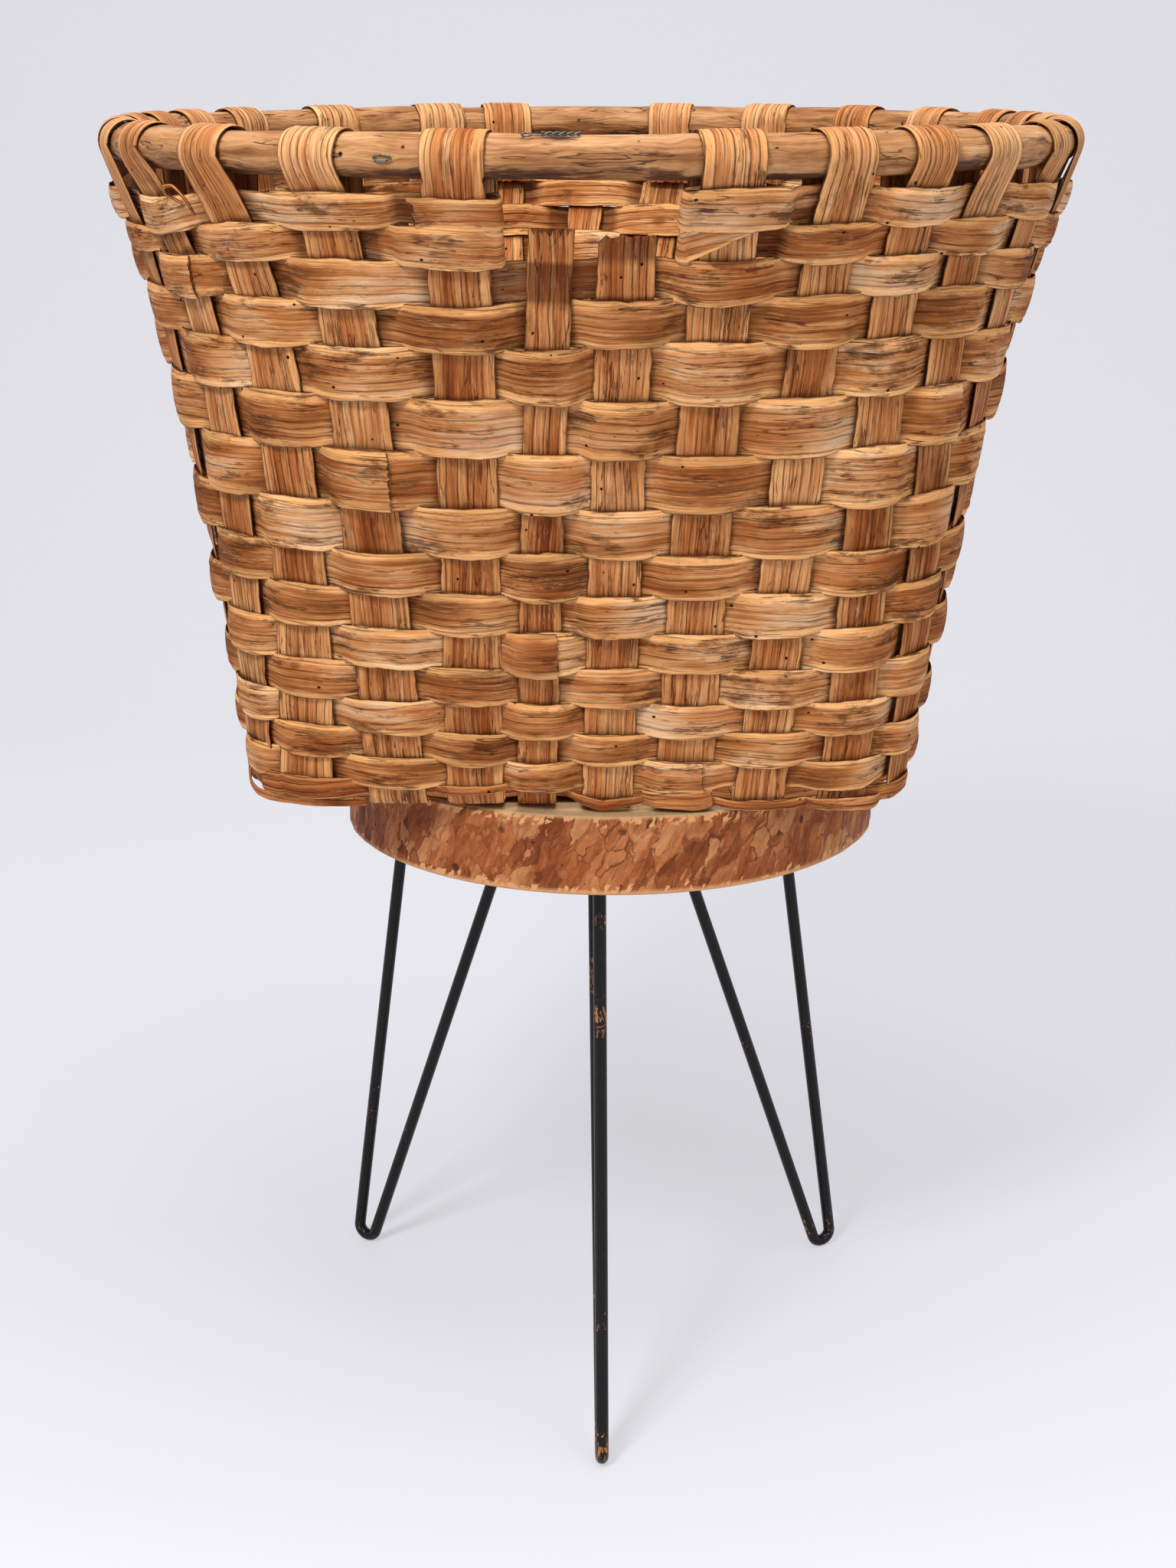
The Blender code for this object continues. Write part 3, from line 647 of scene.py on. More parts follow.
def splint_wood(name, stops, strip_density, shares, groove_share, dark_share, ruddy_share, edge_shares):
    """A finish for split wood. shares: how much the strips, streaks, patches, fibres and board tones count.

    edge_shares: how much grey lies in the middle, and how much honey, partly a painted highlight, along the
    edges.
    """
    wood = Finish(name)
    grain = wood.attribute("grain")
    edge, tone, contact_shade = wood.parts(wood.attribute("look"))
    drift = wood.noise(grain, (14, 14, GRAIN_APART), detail=2, result="Color")
    grain = wood.stretched(wood.centred(drift), (0.0, 0.005, 0.0), grain)
    where = wood.parts(grain)
    wander = wood.noise(grain, (7, 9, GRAIN_APART), (2, 2, 5), detail=2)
    across = wood.math("MULTIPLY_ADD", where[1], strip_density, wood.times(wander, 3.0))
    strip, border = wood.strips(wood.math("MULTIPLY_ADD", where[2], STRIPS_APART, across))
    unevenness = wood.noise(grain, (60, 90, GRAIN_APART), (4, 4, 4), detail=3)
    streaks = wood.noise(grain, (9, 480, GRAIN_APART), roughness=0.60)
    fibres = wood.noise(grain, (30, 1500, GRAIN_APART), detail=3, roughness=0.65)
    patches = wood.noise(grain, (15, 42, GRAIN_APART), (3, 5, 7), roughness=0.6)
    board = wood.noise(grain, (8, 5, GRAIN_APART), (8, 1, 2), detail=2)
    value = wood.math("MULTIPLY_ADD", tone, 0.05, 0.54 - 0.5 * sum(shares))
    for part, share in zip((strip, streaks, patches, fibres, board), shares):
        value = wood.math("MULTIPLY_ADD", part, share, value)
    color = wood.ramp(value, stops)
    cloud = wood.noise(grain, (19, 70, GRAIN_APART), (1, 9, 4), detail=5, roughness=0.65)
    outer = wood.band(wood.math("MULTIPLY_ADD", cloud, 0.7, edge), 0.92, 1.16)
    color = wood.mix(wood.band(outer, 0, 1, edge_shares[0], 0.0), color, GREYED)
    # Honey near the edges, partly a painted highlight on the raised strands.
    edge_paleness_and_highlight = wood.times(wood.band(fibres, 0.30, 0.62, 0.3, edge_shares[1]), outer)
    color = wood.mix(edge_paleness_and_highlight, color, PALE_EDGE_AND_HIGHLIGHT)
    lean = wood.noise(grain, (24, 120, GRAIN_APART), (11, 2, 1), detail=5, roughness=0.7)
    smudge = wood.noise(grain, (26, 60, GRAIN_APART), (1, 9, 4), detail=5, roughness=0.7)
    heart = wood.band(wood.math("MULTIPLY_ADD", lean, 0.45, smudge), 0.76, 0.90)
    color = wood.mix(wood.times(heart, dark_share), color, HEART_BROWN)
    ruddy = wood.noise(grain, (13, 60, GRAIN_APART), (7, 7, 2), roughness=0.6)
    unworn = wood.band(tone, 0.9, 2.4, 1.0, 0.2)
    ruddy = wood.times(wood.band(ruddy, 0.50, 0.66, 0, ruddy_share), unworn)
    color = wood.mix(ruddy, color, RUDDY)
    knots = wood.stretched(grain, (20, 34, GRAIN_APART), (3, 8, 2))
    rare = wood.band(wood.chance(knots, 1), 0.925, 0.935)
    knots = wood.math("MULTIPLY_ADD", unevenness, 0.12, wood.spots(knots))
    for start, full, share, brown in KNOT_RINGS:
        color = wood.mix(wood.times(rare, wood.band(knots, start, full, 0, share)), color, brown)
    grooved = wood.band(patches, 0.40, 0.58, 0.05, groove_share)
    groove = wood.times(wood.band(border, 0.07, 0.02), grooved)
    cracks = wood.lines(wood.noise(grain, (7, 120, GRAIN_APART), (5, 1, 8), detail=3), 0.012)
    cracks = wood.times(cracks, wood.band(smudge, 0.44, 0.56))
    cut = wood.math("MAXIMUM", groove, cracks)
    color = wood.mix(wood.times(cut, 0.75), color, GROOVE_AND_SHADE_BROWN)
    pale = wood.lines(wood.noise(grain, (12, 200, GRAIN_APART), (2, 4, 9), roughness=0.7), 0.016)
    color = wood.mix(wood.times(pale, wood.band(cloud, 0.47, 0.60, 0, 0.25)), color, PALE_FIBRE)
    # Painted shade: a dark line along the splint's side edges, as if they lay in shadow.
    color = wood.mix(wood.band(edge, 0.95, 1.0, 0, 0.85), color, GROOVE_AND_SHADE_BROWN)
    # Painted shade beside the splints that cross this one, from the third number of look, varied a little by
    # noise.
    shade_and_stain = wood.times(contact_shade, wood.band(smudge, 0.30, 0.60, 0.75, 1.0))
    color = wood.mix(shade_and_stain, color, GROOVE_AND_SHADE_BROWN)
    ticks = wood.noise(grain, (190, 900, GRAIN_APART), (6, 6, 1), detail=2)
    tick = wood.band(ticks, 0.27, 0.22)
    holes = wood.stretched(grain, (120, 150, GRAIN_APART))
    hole = wood.band(wood.spots(holes), 0.16, 0.09)
    hole = wood.times(hole, wood.band(wood.chance(holes), 0.93, 0.94))
    mark = wood.math("MAXIMUM", hole, wood.times(tick, 0.8))
    color = wood.mix(mark, color, HOLE_BROWN)
    wood.set("Base Color", color)
    wood.set("Roughness", wood.band(streaks, 0.3, 0.7, 0.72, 0.52))
    wood.set("Specular IOR Level", 0.06)
    wood.relief([(wood.band(border, 0.0, 0.20), 0.0004), (streaks, 0.0013), (fibres, 0.0005),
                 (wood.times(cut, -1.0), 0.0008), (wood.times(mark, -1.0), 0.0010)])
    return wood.material


# %% Wood for the weavers, and a browner one for the stakes
HONEY_STOPS = [(0.0, (0.062, 0.011, 0.002)), (0.20, (0.160, 0.037, 0.007)), (0.38, (0.322, 0.096, 0.022)),
               (0.54, (0.530, 0.200, 0.062)), (0.72, (0.735, 0.362, 0.150)), (1.0, (0.92, 0.64, 0.40))]
BROWN_STOPS = [(0.0, (0.060, 0.010, 0.002)), (0.20, (0.15, 0.031, 0.006)), (0.38, (0.28, 0.076, 0.018)),
               (0.54, (0.43, 0.145, 0.042)), (0.72, (0.60, 0.262, 0.096)), (1.0, (0.80, 0.46, 0.23))]
weaver_wood = splint_wood("weaver_wood", HONEY_STOPS, 150, (0.12, 1.00, 1.50, 0.80, 1.80), 0.55, 0.75, 0.25,
                          (0.40, 0.55))
stake_wood = splint_wood("stake_wood", BROWN_STOPS, 190, (0.15, 0.95, 0.65, 0.80, 1.00), 0.75, 0.45, 0.30,
                         (0.10, 0.20))
print("splint finishes:", weaver_wood.name, stake_wood.name)

# %% [markdown]
# ## The stakes
# Each long splint comes up one wall, folds over the rim pole and ends in a tail inside. It could be cut in
# pieces at the floor, but one unbroken strip is how it is split and how its grain runs, so one line goes
# from tail to tail. It bends a little in and out where the weavers press on it.
# %% The line of one stake, from the floor's edge to its tail
FOLD_CLEAR = 0.0004
FOLD_RADIUS = POLE_RADIUS + FOLD_CLEAR + SPLINT / 2
FOLD_STEPS = 24
TAIL_LENGTH = 0.045
TAIL_START = 0.003
TAIL_STEPS = 12
TAIL_LEAN = 0.09
PRESS = 0.0005
CORNER = 0.006
WALL_STEP = 0.002
rim_ring_radius = RIM_RADIUS - 0.0009


def stake_line(index):
    """Points and side vectors (anticlockwise) of a stake, going up."""
    broken = index in BREAK_DROPS
    top = RIM_HEIGHT - BREAK_DROPS[index] if broken else row_edges[-1]
    heights = np.arange(FLOOR_HEIGHT + CORNER, top, WALL_STEP)
    point, round_it, up, out = wall_frame(stake_bearing(index, heights), heights)
    row = np.interp(heights, row_middles, np.arange(ROWS))
    press = PRESS * np.cos(np.pi * (row + index))
    wall = point + out * press[:, None]
    inward = -out[0] * [1, 1, 0]
    first = np.array([*base_points[index], FLOOR_HEIGHT]) + [BASE_SIDE_SHIFT, 0, 0] + unit(inward) * CORNER
    points = [first[None, :], wall]
    sides = [round_it[:1], round_it]
    if not broken:
        bearing = rim_bearings[index]
        away = np.array([math.cos(bearing), math.sin(bearing), 0])
        across = np.array([-math.sin(bearing), math.cos(bearing), 0])
        centre = away * rim_ring_radius + [0, 0, RIM_HEIGHT]
        start = np.array([(wall[-1] - centre) @ away, wall[-1, 2] - RIM_HEIGHT])
        distance = np.linalg.norm(start)
        first_turn = math.atan2(start[1], start[0]) + math.acos(min(1, FOLD_RADIUS / distance))
        turns = np.linspace(first_turn, np.pi, FOLD_STEPS)
        fold = centre + FOLD_RADIUS * (np.cos(turns)[:, None] * away + np.sin(turns)[:, None] * [0, 0, 1])
        drops = np.linspace(TAIL_START, TAIL_LENGTH, TAIL_STEPS)[:, None]
        tail = centre - away * (FOLD_RADIUS + TAIL_LEAN * drops * drops / TAIL_LENGTH)
        tail = tail - drops * [0, 0, 1]
        points += [fold, tail]
        sides += [np.repeat(across[None, :], len(turns) + len(drops), axis=0)]
    return np.concatenate(points), np.concatenate(sides)


# %% Painted shade where the weavers press on a stake
CONTACT_SHADE = 0.70
CONTACT_SHADE_REACH = 0.0017
CORNER_BEARING = 0.8


def soft_step(value, low, high):
    """0 below low, 1 above high, and an even climb with soft ends between them."""
    share = np.clip((value - low) / (high - low), 0, 1)
    return share * share * (3 - 2 * share)


def stake_contact_shade(line, first, second):
    """How much painted shade the outer and the inner face get: dark beside each weaver that crosses that face.
    """
    painted_shade = np.zeros((2, len(line)))
    halfway = len(line) // 2
    base_reach = np.linalg.norm(wall_point(CORNER_BEARING, FLOOR_HEIGHT)[:2])
    on_wall = line[:, 2] > FLOOR_HEIGHT + 0.003
    on_wall &= np.linalg.norm(line[:, :2], axis=1) > 0.6 * base_reach
    for index, part in ((first, slice(0, halfway)), (second, slice(halfway, None))):
        edges = row_edges + edge_drift[:, index]
        for row in range(ROWS):
            face = 0 if (row + index) % 2 == 1 else 1
            beside = np.maximum(edges[row] - line[part, 2], line[part, 2] - edges[row + 1])
            here = CONTACT_SHADE * (1 - soft_step(beside, 0, CONTACT_SHADE_REACH)) * on_wall[part]
            painted_shade[face, part] = np.maximum(painted_shade[face, part], here)
    return painted_shade


# %% Make the fifteen long splints
FOLD_TONE = 3.0
STATION = 0.003
STAKE_BLUR = 0.0022
SPLINT_RIDGE = 0.0007
CUT_RAGGED = 0.0008
BROKEN_RAGGED = 0.003
FLOOR_INSET = 0.012
LANE_POINTS = 60
BAR_POINTS = 120


def make_stake(name, first, second, floor_points, floor_side, width, seed):
    """A splint down the first stake, through the floor and up the second."""
    down, down_sides = stake_line(first)
    rising, rising_sides = stake_line(second)
    points = np.concatenate([down[::-1], floor_points, rising])
    floor_sides = np.repeat(np.array(floor_side, float)[None, :], len(floor_points), axis=0)
    sides = np.concatenate([down_sides[::-1], floor_sides, -rising_sides])
    line, side = eased_line(points, sides, STATION, STAKE_BLUR)
    ragged = [BROKEN_RAGGED if end in BREAK_DROPS else CUT_RAGGED for end in (first, second)]
    draw = np.random.default_rng(seed)
    tone = draw.uniform(-1, 1) + FOLD_TONE * soft_step(line[:, 2], RIM_HEIGHT - 0.018, RIM_HEIGHT + 0.002)
    splint = sweep_splint(f"{name}_splint", line, side, width / 2, seed, crown=0.0003, ridge=SPLINT_RIDGE,
                          ragged=ragged, tone=tone[:, None], contact_shade=stake_contact_shade(line, first, second))
    splint.data.materials.append(stake_wood)
    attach(splint, "basket")
    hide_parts(name)


for number, x in enumerate(lanes):
    reach = lane_reach[number] - FLOOR_INSET
    ys = np.linspace(-reach, reach, LANE_POINTS)
    floor = np.stack([np.full_like(ys, x + BASE_SIDE_SHIFT), ys, np.full_like(ys, FLOOR_HEIGHT)], axis=1)
    back = 2 * len(lanes) + len(bars) - 1 - number
    make_stake(f"front_back_stake_{number + 1}", number, back, floor, (1, 0, 0), FRONT_BACK_WIDTHS[number],
               seed=100 + number)

for number, y in enumerate(bars):
    reach = bar_reach[number] - FLOOR_INSET
    xs = np.linspace(-reach, reach, BAR_POINTS)
    lane = np.interp(xs, lanes, np.arange(len(lanes)))
    wave = -FLOOR_WAVE * np.cos(np.pi * (lane + number))
    floor = np.stack([xs + BASE_SIDE_SHIFT, np.full_like(xs, y), FLOOR_HEIGHT + wave], axis=1)
    make_stake(f"side_stake_{number + 1}", STAKES - 1 - number, len(lanes) + number, floor, (0, -1, 0),
               SIDE_WIDTHS[number], seed=120 + number)
print("long splints:", len(lanes) + len(bars))

# %% [markdown]
# ## The weavers
# A weaver goes outside one stake and inside the next. Where it passes outside it stands proud, and it is a
# little wider there, because nothing holds its edges back; between stakes it is pinched between its
# neighbours. A line that swings out and in does this, with small chance differences at each crossing, as in
# hand work.
# %% How a weaver swings out and in
OUT_SWING = 0.0044
IN_SWING = 0.0030
SWING_POWER = 2.7
STRAIGHT_SHARE = 0.85
SLIPPED = {(12, 3)}


def crossing_swing(row, index):
    """How far out a weaver passes a stake, or in if the number is negative."""
    index = int(index) % STAKES
    outside = (row + index) % 2 == 1 and (row, index) not in SLIPPED
    return (OUT_SWING if outside else -IN_SWING) + swing_drift[row, index]


def swing_at(row, place):
    """A weaver's distance out from the wall's middle at each place round it, counted in stakes."""
    swing = np.zeros(len(place))
    for k, spot in enumerate(place):
        near = round(spot)
        beside = near + (1 if spot > near else -1)
        here, there = crossing_swing(row, near), crossing_swing(row, beside)
        between = STRAIGHT_SHARE * here if here * there > 0 else 0.0
        swing[k] = between + (here - between) * (1 - (2 * abs(spot - near)) ** SWING_POWER)
    return swing


def drifted(table, row, place):
    """A chance difference that changes smoothly from stake to stake."""
    ring = np.arange(STAKES + 1)
    values = np.append(table[row], table[row, 0])
    return np.interp(np.mod(place, STAKES), ring, values)


# %% Sweep a weaver along its places
SHINGLE_LEAN = -0.06
WIDER_OUTSIDE = 0.0010
WIDER_INSIDE = 0.0006
WIDER_POWER = 3.0
EDGE_OVERLAP = 0.0006
CROWN_LEAST = 0.0003
CROWN_OUTSIDE = 0.0013
CROWN_INSIDE = 0.0007


def make_weaver(row, place, swing, ragged, tucks=(0, 0), share=1.0):
    """A row's splint. tucks: how many points are turned back at each end. share: the width that is left."""
    low, high = (row_edges[edge] + drifted(edge_drift, edge, place) for edge in (row, row + 1))
    heights = (low + high) / 2
    bearing = stake_bearing(place, heights)
    point, round_it, up, out = wall_frame(bearing, heights)
    outside = np.clip(swing / OUT_SWING, -1, 1)
    lean = drifted(lean_drift, row, place) + SHINGLE_LEAN * np.clip(outside, 0, 1)
    phase = 2 * np.abs(place - np.round(place))
    wider = np.where(swing > 0, WIDER_OUTSIDE, WIDER_INSIDE) * (1 - phase ** WIDER_POWER)
    half = (high - low) / 2 / up[:, 2] + wider + EDGE_OVERLAP
    crown = CROWN_LEAST + np.where(outside > 0, CROWN_OUTSIDE, CROWN_INSIDE) * outside
    draw = np.random.default_rng(300 + row)
    # Painted shade: on the outer face where the weaver passes behind a stake, on the inner face where it passes
    # in front, and none on the tucked ends.
    dive = swing / IN_SWING
    contact_shade = (CONTACT_SHADE * (1 - soft_step(dive, -0.85, -0.40)), CONTACT_SHADE * soft_step(dive, 0.2, 0.85))
    contact_shade[1][:tucks[0]] = 0
    contact_shade[1][len(place) - tucks[1]:] = 0
    line = point + out * swing[:, None] + up * (half * (1 - share))[:, None]
    sides = unit(up + out * lean[:, None])
    splint = sweep_splint(f"weaver_{row + 1:02d}_splint", line, sides, half * share, 300 + row, crown=crown,
                          ridge=SPLINT_RIDGE, ragged=ragged, tone=draw.uniform(-1, 1), contact_shade=contact_shade)
    splint.data.materials.append(weaver_wood)
    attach(splint, "basket")
    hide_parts(f"weaver_row_{row + 1:02d}")


# %% Make the thirteen whole rows, each lapped over its own start
SPAN_STEPS = 14
LAP_STEP = 7
LAP_ROW = 8
LAP_STAKE = 1
LAP_START = -0.40
LAP_FINISH = 0.28
LAP_LIFT = SPLINT + 0.0004
LAP_CLIMB = (-0.55, -0.30)
TORN_ROWS = 2

for row in range(ROWS - TORN_ROWS):
    first = (LAP_STAKE + LAP_STEP * (row - LAP_ROW)) % STAKES
    place = np.arange(first + LAP_START, first + STAKES + LAP_FINISH, 1 / SPAN_STEPS)
    lap = soft_step(place - first - STAKES, *LAP_CLIMB)
    make_weaver(row, place, swing_at(row, place) + LAP_LIFT * lap, ragged=(0.0006, 0.0009))
print("whole rows:", ROWS - TORN_ROWS)

# %% Make the two torn rows
GAP_START = 2
GAP_FINISH = 5
STAKE_SPACING = 0.047
TUCK_RADIUS = 0.0034
TUCK_CLEAR = 0.001
TUCK_STEPS = 9
TIP_PAST = 0.30
RUN_PAST = 0.36
POINTED_ROW = 13
POINT_TIP = 0.06
POINT_FILL = 1.6


def tuck(row, stake, side, tip):
    """Places and swings round a stake's edge, from its far face to the side the weaver goes on from."""
    edge = side * (STAKE_WIDTHS[stake] / 2 + TUCK_CLEAR) / STAKE_SPACING
    sign = 1 if crossing_swing(row, stake) > 0 else -1
    turns = np.linspace(0, np.pi, TUCK_STEPS)
    bend = stake + edge + side * TUCK_RADIUS * np.sin(turns) / STAKE_SPACING
    swing = -sign * TUCK_RADIUS * np.cos(turns)
    steps = max(2, int(abs(tip - stake - edge) * SPAN_STEPS))
    run = np.linspace(tip, stake + edge, steps, endpoint=False)
    return np.concatenate([run, bend]), np.concatenate([np.full(steps, -sign * TUCK_RADIUS), swing])


for row in range(ROWS - TORN_ROWS, ROWS):
    first_places, first_swings = tuck(row, GAP_FINISH, -1, GAP_FINISH + TIP_PAST)
    last_places, last_swings = tuck(row, GAP_START, 1, GAP_START - TIP_PAST)
    middle = np.arange(GAP_FINISH - RUN_PAST, STAKES + GAP_START + RUN_PAST, 1 / SPAN_STEPS)
    middle_swings = swing_at(row, middle)
    clear = TUCK_RADIUS - 0.0006
    for end in (GAP_FINISH, STAKES + GAP_START):
        near = np.abs(middle - end) < 0.5
        sign = 1 if crossing_swing(row, end) > 0 else -1
        middle_swings[near] = sign * np.maximum(sign * middle_swings[near], clear)
    place = np.concatenate([first_places, middle, last_places[::-1] + STAKES])
    swing = np.concatenate([first_swings, middle_swings, last_swings[::-1]])
    share = np.ones(len(place))
    if row == POINTED_ROW:
        share[:len(first_places)] = np.clip(np.linspace(POINT_TIP, POINT_FILL, len(first_places)), 0, 1)
    make_weaver(row, place, swing, (0.002, 0.002), (len(first_places), len(last_places)), share)
print("torn rows:", TORN_ROWS)

# %% [markdown]
# ## The row at the foot of the wall
# Under the lowest row a narrow splint holds the feet of the stakes. It starts at the front left corner, goes
# outside every second stake, sags a little at the front and ends beside its start. A thinner splint comes
# down that corner, bends and runs on under it. Both are swept along the wall like the weavers.
# %% Make the foot row
# place in stakes, height of the lower edge and of the upper edge
FOOT_KNOTS = ((-0.78, 0.4665, 0.4850), (0.62, 0.4705, 0.4831), (1.46, 0.4722, 0.4788), (1.94, 0.4740, 0.4794),
              (2.53, 0.4751, 0.4811), (3.33, 0.4713, 0.4761), (3.93, 0.4618, 0.4699), (4.51, 0.4663, 0.4712),
              (5.39, 0.4629, 0.4698), (6.08, 0.4626, 0.4690), (6.67, 0.4620, 0.4686), (7.60, 0.4630, 0.4740),
              (9.0, 0.4650, 0.4765), (12.0, 0.4640, 0.4745), (15.0, 0.4650, 0.4770), (18.0, 0.4645, 0.4750),
              (21.0, 0.4652, 0.4768), (24.0, 0.4640, 0.4750), (27.0, 0.4650, 0.4765), (29.2, 0.4640, 0.4740))
FOOT_OUT = 0.0042
FOOT_IN = 0.0026
FOOT_CORNER = -0.4


def ride_as_splint(splint):
    """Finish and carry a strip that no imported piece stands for."""
    splint.data.materials.append(stake_wood)
    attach(splint, "basket")


places, lows, highs = np.array(FOOT_KNOTS).T
place = np.arange(places[0], places[-1], 1 / SPAN_STEPS)
low, high = np.interp(place, places, lows), np.interp(place, places, highs)
near = np.round(place)
reach = np.where(near % 2 == 0, FOOT_OUT, -FOOT_IN)
swing = np.where(place < FOOT_CORNER, FOOT_OUT, reach * (1 - (2 * np.abs(place - near)) ** SWING_POWER))
middle = (low + high) / 2 + 0.0003 * wobble(place, 901, 3.0)
point, round_it, up, out = wall_frame(stake_bearing(place, middle), middle)
half = (high - low) / 2 / up[:, 2] + 0.0003 + 0.0004 * wobble(place, 902, 1.7)
foot = sweep_splint("foot_row_splint", point + out * swing[:, None], up, half, 903, crown=0.0005,
                    ridge=0.0005, ragged=(0.0008, 0.0015), tone=-1.0)
ride_as_splint(foot)
print("foot row, millimetres wide:", round(2000 * half.min(), 1), "to", round(2000 * half.max(), 1))


# %% Make the single strips that lie on the wall
KNOT_STEPS = 40
STRIP_THICKNESS = 0.0014


def wall_strip(name, knots, seed, tone):
    """A splint through knots of place, height, distance out and half width, which may turn on the wall."""
    knots = np.array(knots)
    spots = np.linspace(0, len(knots) - 1, KNOT_STEPS * (len(knots) - 1) + 1)
    place, height, apart, half = (np.interp(spots, np.arange(len(knots)), column) for column in knots.T)
    point, round_it, up, out = wall_frame(stake_bearing(place, height), height)
    line, outward = eased_line(point + out * apart[:, None], out, 0.002, 0.0025)
    half = np.interp(np.linspace(0, 1, len(line)), np.linspace(0, 1, len(half)), half)
    sides = np.cross(outward, unit(np.gradient(line, axis=0)))
    strip = sweep_splint(name, line, sides, half, seed, crown=0.0003, ridge=0.0004, tone=tone,
                         thickness=STRIP_THICKNESS, ragged=(0.0008, 0.0008), edge_wave=0.0003)
    ride_as_splint(strip)


WALL_STRIPS = {
    "corner_strip": ((-1.12, 0.4860, 0.0024, 0.0026), (-1.36, 0.4770, 0.0040, 0.0026),
                     (-1.34, 0.4672, 0.0050, 0.0028), (-0.95, 0.4646, 0.0052, 0.0030),
                     (-0.54, 0.4650, 0.0044, 0.0030), (0.10, 0.4655, 0.0030, 0.0032),
                     (0.66, 0.4665, 0.0004, 0.0034)),
    "foot_fold_5": ((4.48, 0.4706, 0.0010, 0.0052), (4.62, 0.4706, 0.0050, 0.0062),
                    (5.00, 0.4704, 0.0064, 0.0068), (5.26, 0.4704, 0.0056, 0.0074),
                    (5.40, 0.4706, 0.0020, 0.0074)),
    "foot_fold_7": ((6.58, 0.4660, 0.0020, 0.0042), (6.75, 0.4658, 0.0052, 0.0046),
                    (7.10, 0.4648, 0.0064, 0.0050), (7.42, 0.4636, 0.0052, 0.0050),
                    (7.58, 0.4634, 0.0010, 0.0046)),
    "loose_splinter": ((-0.50, 0.8500, 0.0030, 0.0009), (-0.50, 0.8575, 0.0100, 0.0011),
                       (-0.39, 0.8640, 0.0130, 0.0012), (-0.24, 0.8655, 0.0130, 0.0012),
                       (-0.23, 0.8560, 0.0110, 0.0012), (-0.38, 0.8440, 0.0040, 0.0010)),
}
STRIP_TONES = {"corner_strip": -2.0, "foot_fold_5": 0.5, "foot_fold_7": 0.5, "loose_splinter": 0.5}
for number, (name, knots) in enumerate(WALL_STRIPS.items()):
    wall_strip(name, knots, 920 + number, STRIP_TONES[name])
print("single strips:", len(WALL_STRIPS))

# %% [markdown]
# ## The rim poles
# The rim is a peeled pole of about a thumb's thickness, bent in two halves. A plain torus would look turned
# on a lathe, so the section swells and shrinks along the way, and knots stand out where twigs were cut.
# %% Rim wood
POLE_STOPS = [(0.0, (0.045, 0.017, 0.007)), (0.22, (0.14, 0.052, 0.018)), (0.42, (0.27, 0.110, 0.036)),
              (0.60, (0.43, 0.205, 0.080)), (0.80, (0.56, 0.31, 0.145)), (1.0, (0.68, 0.44, 0.24))]
POLE_SHARES = (0.9, 0.7, 1.0)
POLE_ROT_AND_SHADE = (0.060, 0.020, 0.008)
POLE_RUDDY = (0.33, 0.115, 0.038)
POLE_CRACK = (0.030, 0.010, 0.004)
POLE_HOLE = (0.012, 0.006, 0.004)


def pole_wood():
    """Peeled wood: bands and streaks along the pole, brown stains, painted shade on the underside, fine cracks
    and insect holes.
    """
    wood = Finish("pole_wood")
    grain = wood.attribute("grain")
    drift = wood.noise(grain, (30, 60, 1), detail=2, result="Color")
    grain = wood.stretched(wood.centred(drift), (0.0, 0.010, 0.0), grain)
    bands = wood.noise(grain, (9, 110, 1), roughness=0.6)
    streaks = wood.noise(grain, (16, 480, 1), roughness=0.65)
    patches = wood.noise(grain, (18, 40, 1), (4, 1, 6), roughness=0.6)
    value = 0.57 - 0.5 * sum(POLE_SHARES)
    for part, share in zip((bands, streaks, patches), POLE_SHARES):
        value = wood.math("MULTIPLY_ADD", part, share, value)
    color = wood.ramp(value, POLE_STOPS)
    rot = wood.noise(grain, (13, 40, 1), (9, 3, 2), detail=5, roughness=0.7)
    # Rot patches and the painted shade of the underside take one dark brown.
    under = wood.band(wood.math("ADD", rot, wood.attribute("shade_and_stain", "Fac")), 0.56, 0.68, 0, 0.92)
    color = wood.mix(under, color, POLE_ROT_AND_SHADE)
    ruddy = wood.noise(grain, (12, 60, 1), (1, 3, 8), detail=3)
    color = wood.mix(wood.band(ruddy, 0.52, 0.68, 0, 0.30), color, POLE_RUDDY)
    cracks = wood.lines(wood.noise(grain, (7, 75, 1), (2, 8, 3), detail=3), 0.011)
    cracks = wood.times(cracks, wood.band(patches, 0.60, 0.50, 0, 0.75))
    color = wood.mix(cracks, color, POLE_CRACK)
    holes = wood.stretched(grain, (80, 80, 1))
    hole = wood.band(wood.spots(holes), 0.13, 0.08)
    hole = wood.times(hole, wood.band(wood.chance(holes), 0.70, 0.71))
    color = wood.mix(hole, color, POLE_HOLE)
    wood.set("Base Color", color)
    wood.set("Roughness", wood.band(streaks, 0.3, 0.7, 0.56, 0.38))
    wood.set("Specular IOR Level", 0.16)
    wood.relief([(bands, 0.0022), (streaks, 0.0012), (wood.times(cracks, -1.0), 0.0009),
                 (wood.times(hole, -1.0), 0.001)])
    return wood.material


rim_wood = pole_wood()
print("pole finish:", rim_wood.name)


# %% Sweep a round bar
# a bar's upper and lower half would look alike, so a third measure rises and falls by this many radii
BAR_APART = 60


def mirrored(turns):
    """Turns counted up one side and down the other, so that a pattern meets itself without a seam."""
    return np.abs((turns / np.pi + 1) % 2 - 1) * np.pi


def even_radius(size):
    """The same radius all along a bar and all round it."""
    return lambda along, turn: size + 0 * along + 0 * turn


